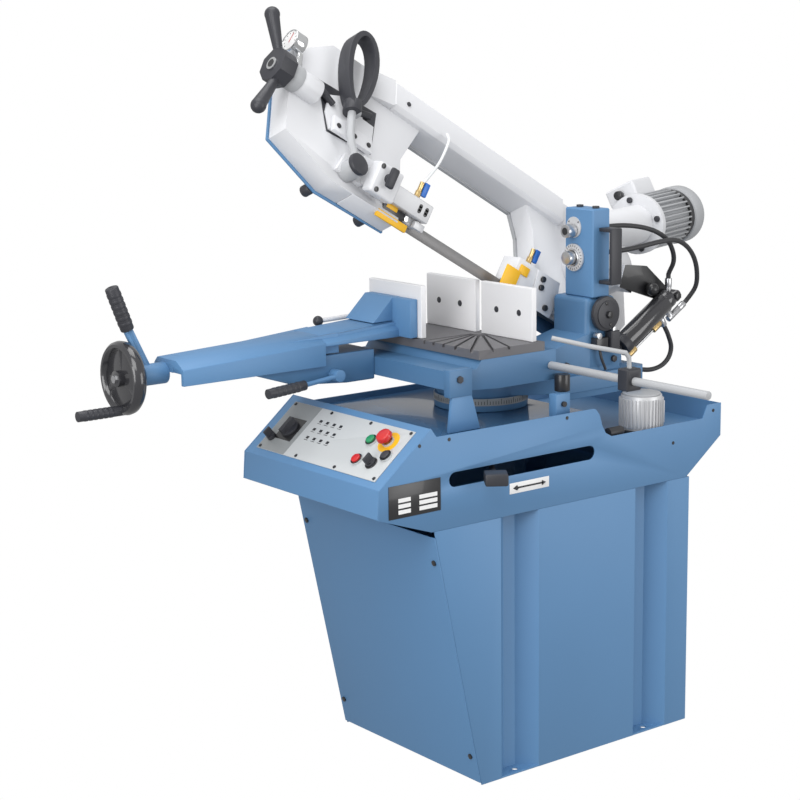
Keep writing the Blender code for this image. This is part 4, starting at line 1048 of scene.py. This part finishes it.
@dataclass
class ViseDetail:
    """Handwheel rim and web, clamp bar, arm cover, rear lever, bolts and grip ridges."""

    y: float = 0.167
    z: float = 0.976
    rim_x: float = -0.985
    rim_widen: float = 1.5
    rear_foot: Point = (-0.262, 0.24, 1.0372)
    rear_tip: Point = (-0.4086, 0.245, 1.0324)
    cover_x: Flat = (-0.8805, -0.498)
    section: tuple[Flat, ...] = (
        (0.088, 0.954), (0.0985, 0.954), (0.0985, 0.98), (0.212, 0.98), (0.212, 1.01),
        (0.198, 1.024), (0.118, 1.024), (0.088, 1.006))
    end_x: Flat = (-0.498, -0.264)
    end_section: tuple[Flat, ...] = (
        (0.088, 0.9996), (0.2305, 0.9996), (0.2305, 1.019), (0.2165, 1.0375), (0.118, 1.0375),
        (0.088, 1.0195))

    def build(self) -> None:
        """Make the pieces."""
        y, z, mid = self.y, self.z, self.rim_x
        wheel, clamp = Bench("vise_wheel"), Bench("vise_clamp")
        wheel.rod("handwheel_web", Finish.GLOSS, (-0.982, y, z), (-0.989, y, z), 0.066, 64, 0.002)
        rim = wheel.ring("handwheel_rim", None, (mid, y, z), ALONG_X, 0.0715, 0.0105)
        for vert in rim.data.vertices:
            vert.co.x = mid + (vert.co.x - mid) * self.rim_widen
        wheel.hold(rim, Finish.GLOSS)
        self.bar()
        VISE.box("jaw_back", Finish.BLUE, (-0.286, 0.045, 1.0005), (-0.2635, 0.224, 1.0915), 0.002)
        self.cover()
        VISE.rod("rear_lever", Finish.JAW, self.rear_foot, self.rear_tip, 0.0055)
        VISE.ball("rear_lever_knob", Finish.DARK, self.rear_tip, 0.0125)
        wheel.rod("handwheel_nut", Finish.STEEL, (-1.01, y, z), (-1.004, y, z), 0.0095, 6)
        a, b = (-0.969, y, z + 0.104), (-1.005, y, z + 0.2)
        clamp.rod("clamp_sleeve", Finish.DARK, a, b, 0.0152, bevel=0.003)
        self.ridges("clamp_grip", clamp, a, b, 0.0162)
        self.ridges("crank_grip", wheel, (-1.098, y, z - 0.071), (-1.004, y, z - 0.071), 0.0122)
        self.ridges("lock_grip", Bench("vise_lock"), (-0.68, 0.06, 0.916), (-0.578, 0.0663, 0.9222), 0.0122)
        spots = [(-0.247, 0.07, 1.062), (-0.247, 0.198, 1.062)]
        VISE.studs("moving_jaw_bolts", Finish.DARK, spots, (-0.001, 0, 0), 0.0075, 28, 0.0)
        VISE.rod("arm_bolt", Finish.DARK, (-0.56, 0.104, 0.995), (-0.56, 0.113, 0.995), 0.004, 12)

    def bar(self) -> None:
        """Flat bar of the clamp lever."""
        foot, tip = Vector((-0.925, self.y, self.z + 0.012)), Vector((-0.972, self.y, self.z + 0.11))
        run = tip - foot
        lean = Bench("vise_clamp").at(foot, math.atan2(-run.z, run.x), "Y")
        lean.box("clamp_bar", Finish.BLUE, (0.0, -0.006, -0.0095), (run.length, 0.006, 0.0095), 0.001)

    def cover(self) -> None:
        """Bevelled cover over the arm, with a front skirt that hangs before the bed."""
        lay = Bench("vise", Matrix(((0, 0, 1, 0), (1, 0, 0, 0), (0, 1, 0, 0), (0, 0, 0, 1))))
        runs = (("arm_cover", self.section, self.cover_x, -0.7, 0.016),
                ("arm_cover_end", self.end_section, self.end_x, -0.45, 0.0135))
        for name, section, (left, right), middle, fall in runs:
            cover = lay.plate(name, None, section, left, right)
            for vert in cover.data.vertices:
                if vert.co.x < middle and vert.co.z > 1.0:
                    vert.co.z -= fall
            VISE.hold(cover, Finish.BLUE, 0.0015)

    @staticmethod
    def ridges(name: str, bench: Bench, start: Point, end: Point, radius: float) -> None:
        """Moulded ridges along a grip.

        Args:
            name: object name.
            bench: bench of its body.
            start: first end.
            end: second end.
            radius: ridge radius.
        """
        a, b = Vector(start), Vector(end)
        run = (b - a).normalized() * 0.004
        rings = []
        for i in range(6):
            at = a.lerp(b, 0.18 + 0.13 * i)
            rings.append(bench.rod("ridge", None, at - run, at + run, radius, 24, 0.001))
        bench.join(name, Finish.DARK, rings)


@dataclass
class SwivelDetail:
    """Valve post dials and handle, pivot disc and switch."""

    face: float = 0.105
    dial: Flat = (-0.098, 1.172)
    feed: Flat = (-0.095, 1.236)
    wire: tuple[Point, ...] = ((0.122, -0.168, 0.956), (0.124, -0.172, 0.935), (0.14, -0.17, 0.905))

    def build(self) -> None:
        """Make the pieces."""
        self.dials()
        self.handle()
        self.pivot()

    def dials(self) -> None:
        """Silver dials on the post and the bolts of its lid."""
        speed, feed = Bench("speed_valve"), Bench("feed_valve")
        x, (y, z) = self.face, self.dial
        speed.rod("dial_scale", Finish.ALLOY, (x - 0.0004, y, z), (x - 0.0068, y, z), 0.033, 56, 0.001)
        speed.at((0.0, y, z)).fan(
            "dial_ticks", Finish.BLACK, 24, 15, (x - 0.0072, -0.0006, 0.0255), (x - 0.0066, 0.0006, 0.031))
        speed.rod("speed_cap", Finish.STEEL, (x - 0.0062, y, z), (x - 0.03, y, z), 0.0165, 36, 0.002)
        speed.ring("speed_ring", Finish.STEEL, (x - 0.0085, y, z), ALONG_X, 0.019, 0.0025)
        y, z = self.feed
        SWIVEL.rod("feed_scale", Finish.ALLOY, (x, y, z + 0.008), (x - 0.002, y, z + 0.008), 0.025, 48)
        spots = [(x - 0.0018, y - 0.016, z + 0.021), (x - 0.0018, y + 0.016, z + 0.021)]
        SWIVEL.studs("feed_marks", Finish.BLACK, spots, (-0.0008, 0, 0), 0.003, 3, 0.0)
        feed.rod("feed_cap", Finish.STEEL, (x - 0.004, y, z), (x - 0.03, y, z), 0.016, 28, 0.002)
        feed.rod("feed_socket", Finish.BLACK, (x - 0.0295, y, z), (x - 0.0308, y, z), 0.009, 24)
        spots = [(0.133, -0.14, 1.2895), (0.133, -0.085, 1.2895)]
        SWIVEL.studs("post_caps", Finish.DARK, spots, (0, 0, 0.006), 0.0085, 24)

    @staticmethod
    def handle() -> None:
        """Flat pull handle that stands in for the plain CAD bar."""
        bars = [SWIVEL.box("grip", None, (0.124, -0.205, 1.112), (0.158, -0.195, 1.246), 0.003),
                SWIVEL.box("leg", None, (0.124, -0.198, 1.112), (0.158, -0.1603, 1.121), 0.002),
                SWIVEL.box("leg", None, (0.124, -0.198, 1.237), (0.158, -0.1603, 1.246), 0.002)]
        handle = SWIVEL.join("pull_handle", Finish.DARK, bars)
        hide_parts("post_handle")

    def pivot(self) -> None:
        """Disc, nut, seal ring and switch at the head's pivot."""
        HEAD.rod("pivot_disc", Finish.DARK, (0.004, -0.1935, 0.0), (0.004, -0.1905, 0.0), 0.034, 48, 0.001)
        HEAD.rod("pivot_nut", Finish.BLACK, (0.004, -0.201, 0.0), (0.004, -0.193, 0.0), 0.0095, 6, 0.001)
        spots = [(0.022, -0.193, -0.018), (-0.016, -0.193, 0.02)]
        HEAD.studs("pivot_pins", Finish.BLACK, spots, (0, -0.0025, 0), 0.004, 16)
        HEAD.rod("pivot_seal", Finish.BLACK, (0.0, -0.046, 0.0), (0.0, -0.042, 0.0), 0.036, 56)
        SWIVEL.box("switch_body", Finish.BLACK, (0.104, -0.178, 0.955), (0.142, -0.1553, 0.984), 0.003)
        spots = [(0.113, -0.178, 0.989), (0.164, -0.178, 1.0)]
        SWIVEL.studs("switch_rollers", Finish.STEEL, spots, (0, 0.016, 0), 0.008, 28)
        wire, _ = SWIVEL.pipe("switch_wire", self.wire, 0.0035)
        SWIVEL.hold(wire, Finish.RUBBER)
        spots = [(0.025, -0.1545, 0.925), (0.18, -0.1545, 0.925)]
        SWIVEL.studs("bracket_bolts", Finish.DARK, spots, (0, -0.0065, 0), 0.0085)


@dataclass
class HeadDetail:
    """Guards, taps, knobs, bolts and gauge face of the bow."""

    front: float = 0.0242
    beam: float = 0.0448
    gauge: Flat = (0.259, 0.038)
    boss: Flat = (0.16, 0.04)
    throat: tuple[Flat, ...] = (
        (-0.56, 0.0), (-0.56, 0.15), (-0.5, 0.268), (-0.11, 0.268), (-0.085, 0.2),
        (-0.075, 0.0))
    coolant: tuple[Point, ...] = (
        (-0.438, 0.09, 0.239), (-0.44, 0.07, 0.218), (-0.478, 0.02, 0.148),
        (-0.532, -0.033, 0.08), (-0.54, -0.034, 0.066))
    lug: tuple[Flat, ...] = (
        (-0.125, 0.044), (-0.046, 0.044), (-0.03, 0.0), (-0.036, -0.046), (-0.082, -0.046),
        (-0.118, 0.0))
    hole: tuple[Flat, ...] = ((-0.832, 0.22), (-0.645, 0.233), (-0.658, 0.106), (-0.797, 0.092))
    slide: tuple[Flat, ...] = (
        (-0.8, 0.19), (-0.752, 0.214), (-0.704, 0.217), (-0.694, 0.184), (-0.658, 0.182),
        (-0.664, 0.108), (-0.794, 0.098), (-0.808, 0.14))
    pad: tuple[Flat, ...] = (
        (-0.77, 0.0), (-0.69, -0.004), (-0.655, 0.03), (-0.662, 0.06), (-0.745, 0.056))

    def build(self) -> None:
        """Make the pieces."""
        self.left_guide()
        self.right_guide()
        self.window()
        self.knobs()
        self.tension()
        self.casing()

    def casing(self) -> None:
        """Sill under the blade's way out, ramp up to the beam and lining of the throat."""
        BOW.box("case_sill", Finish.WHITE, (-0.704, -0.03, -0.0298), (-0.5605, -0.024, 0.024), 0.002)
        upright = BOW.at(angle=QUARTER, axis="X")
        ramp = ((-0.69, self.front), (-0.604, self.front), (-0.604, self.beam))
        upright.plate("beam_ramp", Finish.WHITE, ramp, -0.347, -0.27, 0.002)
        strips = []
        for (u0, v0), (u1, v1) in zip(self.throat, self.throat[1:]):
            half = math.hypot(u1 - u0, v1 - v0) / 2 + 0.003
            side = BOW.at(((u0 + u1) / 2, (v0 + v1) / 2, 0.0), math.atan2(v1 - v0, u1 - u0))
            strips.append(side.box("strip", None, (-half, -0.0064, -0.0372), (half, 0.0004, -0.029), 0.001))
        BOW.join("throat_lining", Finish.GREY, strips)

    def left_guide(self) -> None:
        """Yellow guard, brush, roller and black slots, painted as shade, of the sliding guide, with its
        coolant tap and line.
        """
        guide = Bench("guide", RIG.head)
        bars = [guide.box("bar", None, (-0.625, -0.034, -0.056), (-0.53, -0.026, -0.038), 0.0015),
                guide.box("bar", None, (-0.604, -0.03, -0.025), (-0.57, -0.0225, -0.011), 0.0015)]
        guide.join("left_guard", Finish.YELLOW, bars)
        guide.box("guide_brush", Finish.BLACK, (-0.612, -0.029, -0.04), (-0.545, -0.022, -0.016), 0.001)
        guide.rod("guide_roller", Finish.CHROME, (-0.538, -0.033, -0.025), (-0.538, -0.0215, -0.025),
                  0.009, 28, 0.001)
        guide.box("guide_shoe", Finish.ALLOY, (-0.515, -0.034, -0.034), (-0.484, -0.0216, -0.017), 0.0015)
        # Black slot shapes on the arm: painted shade in its slots.
        slots = []
        for x in (-0.526, -0.506):
            slots.append(guide.box("slot", None, (x - 0.005, -0.0462, 0.003), (x + 0.005, -0.0452, 0.015)))
            for z in (0.003, 0.015):
                slots.append(guide.rod("end", None, (x, -0.0462, z), (x, -0.0452, z), 0.005, 20))
        guide.join("arm_slots_painted_shade", Finish.BLACK, slots)
        self.tap("left_tap", guide, (-0.54, -0.034, 0.0302))
        line, _ = HEAD.pipe("coolant_line", self.coolant, 0.0036)
        HEAD.hold(line, Finish.CLEAR)

    @staticmethod
    def tap(name: str, bench: Bench, foot: Point) -> None:
        """Brass coolant tap with a blue lever.

        Args:
            name: object name.
            bench: bench of its body, in the head frame.
            foot: where it stands.
        """
        x, y, z = foot
        brass = [bench.rod("base", None, (x, y, z), (x, y, z + 0.016), 0.0075, 6, 0.0006),
                 bench.rod("neck", None, (x, y, z + 0.015), (x, y, z + 0.038), 0.0055, 20, 0.0006)]
        bench.join(name + "_brass", Finish.BRASS, brass)
        bench.box(name, Finish.TAP, (x + 0.006, y - 0.006, z + 0.008),
                  (x + 0.021, y + 0.003, z + 0.041), 0.002)

    def right_guide(self) -> None:
        """Yellow guard, tag, tap and bolted lug of the fixed guide."""
        HEAD.box("right_guard", Finish.YELLOW, (-0.2215, -0.0452, -0.04), (-0.174, -0.0404, 0.014), 0.0012)
        HEAD.box("right_tag", Finish.YELLOW, (-0.18, -0.044, 0.01), (-0.15, -0.0404, 0.032), 0.0004)
        self.tap("right_tap", HEAD, (-0.153, -0.03, 0.0452))
        upright = HEAD.at(angle=QUARTER, axis="X")
        upright.plate("guide_lug", Finish.WHITE, self.lug, 0.0404, 0.044, 0.001)
        spots = [(-0.102, -0.0438, 0.028), (-0.098, -0.0438, 0.008), (-0.062, -0.0438, -0.03)]
        HEAD.studs("lug_bolts", Finish.BLACK, spots, (0, -0.006, 0), 0.0075, 24, 0.001)

    def window(self) -> None:
        """Tension slide seen through the window in the casing, with a dark plate in the window as painted
        shade.
        """
        z = self.front
        # Dark plate filling the window: painted shade inside the casing.
        BOW.plate("window_painted_shade", Finish.DARK, self.hole, z, z + 0.001)
        BOW.plate("tension_slide", Finish.WHITE, self.slide, z + 0.001, z + 0.008, 0.001)
        BOW.box("tension_shoe", Finish.WHITE, (-0.792, 0.092, z + 0.008), (-0.672, 0.132, z + 0.02), 0.002)
        spots = [(u, 0.108, z + 0.0195) for u in (-0.778, -0.728, -0.684)]
        BOW.studs("shoe_bolts", Finish.BLACK, spots, (0, 0, 0.003), 0.0062, 20)
        z += 0.009
        bars = [BOW.rod("bar", None, (-0.826, 0.186, z), (-0.79, 0.166, z), 0.0085, 24, 0.001),
                BOW.rod("bar", None, (-0.716, 0.19, z), (-0.672, 0.204, z), 0.0085, 24, 0.001)]
        BOW.join("slide_bars", Finish.DARK, bars)

    def knobs(self) -> None:
        """Handle mount, guide clamp knob and cover knobs."""
        z = self.front
        BOW.plate("handle_pad", Finish.WHITE, self.pad, z, z + 0.012, 0.002)
        spots = [(-0.672, 0.03, z + 0.0118), (-0.668, 0.052, z + 0.0118)]
        BOW.studs("pad_bolts", Finish.BLACK, spots, (0, 0, 0.006), 0.007, 20)
        BOW.rod("handle_cap", Finish.DARK, (-0.743, 0.004, 0.07), (-0.743, 0.004, 0.083), 0.0265, 40, 0.004)
        wing = [HEAD.rod("hub", None, (-0.666, -0.08, 0.016), (-0.666, -0.094, 0.016), 0.011, 24, 0.002),
                HEAD.box("arm", None, (-0.677, -0.101, -0.006), (-0.655, -0.089, 0.042), 0.005)]
        HEAD.join("wing_lever", Finish.DARK, wing)
        spots = [(-0.69, -0.0795, 0.036), (-0.684, -0.0795, -0.018)]
        HEAD.studs("clamp_bolts", Finish.BLACK, spots, (0, -0.002, 0), 0.0062, 20)
        spots = [(-0.777, -0.022, -0.0365), (-0.61, -0.014, -0.0365), (0.12, -0.014, -0.0365)]
        BOW.studs("cover_knobs", Finish.DARK, spots, (0, 0, -0.024), 0.0135, 20, 0.002)
        spots = [(-0.56, 0.3, self.beam), (0.185, 0.25, z)]
        BOW.studs("case_bolts", Finish.DARK, spots, (0, 0, 0.004), 0.006)

    def tension(self) -> None:
        """Gauge face and collar of the tensioner."""
        v, w = self.gauge
        BOW.rod("gauge_face", Finish.LABEL, (-0.9328, v, w), (-0.9336, v, w), 0.0235, 48)
        BOW.ring("gauge_rim", Finish.CHROME, (-0.9335, v, w), ALONG_X, 0.025, 0.0018)
        dial = BOW.at((0.0, v, w))
        dial.fan("gauge_marks", Finish.BLACK, 9, 30, (-0.9339, 0.0165, -0.0006), (-0.9335, 0.021, 0.0006),
                 first=-120)
        hand = dial.at(angle=math.radians(40), axis="X")
        hand.box("gauge_hand", Finish.RED, (-0.9342, -0.006, -0.0009), (-0.9338, 0.018, 0.0009))
        v, w = self.boss
        knob = Bench("tensioner", RIG.bow)
        BOW.rod("boss_collar", Finish.GREY, (-0.906, v, w), (-0.9402, v, w), 0.031, 48, 0.002)
        knob.rod("tension_nut", Finish.CHROME, (-0.981, v, w), (-0.985, v, w), 0.015, 28, 0.001)
        knob.rod("tension_socket", Finish.BLACK, (-0.9848, v, w), (-0.9856, v, w), 0.0095, 24)


@dataclass
class DriveDetail:
    """Fins, shroud and bolts of the gear motor."""

    drive: Point = (0.1, 0.16, 0.125)
    turn: float = math.radians(35.5)
    offset: float = 0.0757
    flange: Flat = (0.187, 0.203)
    end: float = 0.376
    fan: float = 0.429
    bolt_ring: float = 0.064
    cap: Flat = (0.1335, 0.141)

    def build(self) -> None:
        """Make the pieces."""
        side = Vector((-math.sin(self.turn), math.cos(self.turn), 0.0)) * self.offset
        motor = BOW.at(Vector(self.drive) + side, self.turn)
        end, fan = self.end, self.fan
        motor.fan("motor_fins", Finish.GREY, 32, 11.25, (self.flange[1] + 0.008, -0.002, 0.06),
                  (end - 0.016, 0.002, 0.0735), bevel=0.0006)
        # Black band in the gap between fins and shroud: painted shade.
        motor.rod("fan_gap_painted_shade", Finish.BLACK, (end - 0.015, 0, 0), (end + 0.006, 0, 0), 0.07, 56)
        motor.rod("fan_shroud", Finish.GREY, (end + 0.006, 0, 0), (fan + 0.001, 0, 0), 0.076, 56, 0.005)
        # Black bars on the shroud's end: painted shade in its slots.
        motor.fan("fan_slots_painted_shade", Finish.BLACK, 20, 18, (fan + 0.0008, -0.0022, 0.016),
                  (fan + 0.0018, 0.0022, 0.054))
        spots = [(self.flange[0], *polar(self.bolt_ring, a)) for a in (10, 100, 190, 280)]
        motor.studs("flange_bolts", Finish.DARK, spots, (-0.006, 0, 0), 0.0078, 24, 0.001)
        (u, v, _), (low, high) = self.drive, self.cap
        BOW.rod("gear_cap", Finish.WHITE, (u, v, low), (u, v, high), 0.056, 48, 0.002)
        spots = [(u + x, v + y, low) for x, y in (polar(self.bolt_ring, i * 60) for i in range(6))]
        BOW.studs("gear_bolts", Finish.ALLOY, spots, (0, 0, 0.005), 0.0055)
        motor.rod("cable_gland", Finish.BLACK, (0.2045, 0.088, -0.02), (0.19, 0.088, -0.02), 0.012,
                  20, 0.002)


@dataclass(frozen=True)
class Lamp:
    """One square soft lamp.

    Args:
        name: lamp name.
        where: its place.
        target: point it faces.
        size: side length.
        watts: power.
    """

    name: str
    where: Point
    target: Point
    size: float
    watts: float

    def build(self) -> None:
        """Hang the lamp."""
        data = bpy.data.lights.new(self.name, "AREA")
        data.size = self.size
        data.energy = self.watts
        obj = bpy.data.objects.new(self.name, data)
        bpy.context.scene.collection.objects.link(obj)
        obj.location = self.where
        way = Vector(self.target) - Vector(self.where)
        obj.rotation_euler = way.to_track_quat("-Z", "Y").to_euler()


@dataclass(frozen=True)
class Studio:
    """Camera, lamps and white surround."""

    place: Point = (-2.97676, -3.39877, 1.71627)
    turn: Point = (78.8391, 0.7397, -37.8059)
    lens: float = 84.9015
    sensor: float = 36.0
    sky: float = 0.62
    ground: float = 0.43
    dusk: float = 0.35
    lamps: tuple[Lamp, ...] = (
        Lamp("key", (-2.6, -2.2, 3.8), (0.0, 0.0, 0.9), 2.2, 58.0),
        Lamp("side", (1.4, -3.6, 1.1), (0.1, 0.0, 0.4), 2.2, 48.0),
        Lamp("top", (-0.6, 0.2, 3.8), (-0.2, 0.0, 1.0), 2.0, 40.0),
        Lamp("fill", (-3.5, -1.2, 1.6), (-0.3, 0.0, 1.0), 2.0, 56.0),
    )

    def aim(self) -> None:
        """Place the camera."""
        scene = bpy.context.scene
        data = bpy.data.cameras.new("camera")
        data.lens = self.lens
        data.sensor_width = self.sensor
        data.clip_end = 60.0
        camera = bpy.data.objects.new("camera", data)
        scene.collection.objects.link(camera)
        camera.location = self.place
        camera.rotation_euler = tuple(math.radians(a) for a in self.turn)
        scene.camera = camera

    def light(self) -> None:
        """Set up the lamps and the surround."""
        for lamp in self.lamps:
            lamp.build()
        self.surround()
        bpy.context.scene.view_settings.view_transform = "Standard"

    def surround(self) -> None:
        """White world: full to the camera, softer as light and weaker from below."""
        world = bpy.data.worlds.new("surround")
        bpy.context.scene.world = world
        world.use_nodes = True
        wires = Wiring(world.node_tree)
        back = wires.tune(world.node_tree.nodes["Background"], Color=(1.0, 1.0, 1.0, 1.0))
        path = wires.add("ShaderNodeLightPath")
        coords = wires.add("ShaderNodeTexCoord")
        split = wires.add("ShaderNodeSeparateXYZ")
        dusk = wires.add("ShaderNodeMapRange", From_Min=-self.dusk, From_Max=self.dusk,
                         To_Min=self.ground, To_Max=self.sky)
        reach = wires.add("ShaderNodeMapRange", To_Max=1.0)
        wires.link((coords, "Generated", split, "Vector"), (split, "Z", dusk, "Value"),
                   (path, "Is Camera Ray", reach, "Value"), (dusk, "Result", reach, "To Min"),
                   (reach, "Result", back, "Strength"))


def main() -> None:
    """Build everything in order: camera, hoses, dressed CAD nodes, pieces, light."""
    logging.basicConfig(level=logging.INFO, format="%(message)s")
    studio = Studio()
    studio.aim()
    hydraulics = Hydraulics()
    hydraulics.lay_hoses()
    CadLook().dress()
    for part in (CabinetDetail(), ControlPanel(), TableDetail(), ViseDetail(), SwivelDetail(), HeadDetail(),
                 DriveDetail(), hydraulics):
        LOG.info("building %s", type(part).__name__)
        part.build()
    studio.light()
    bpy.context.view_layer.update()


if __name__ == "__main__":
    main()
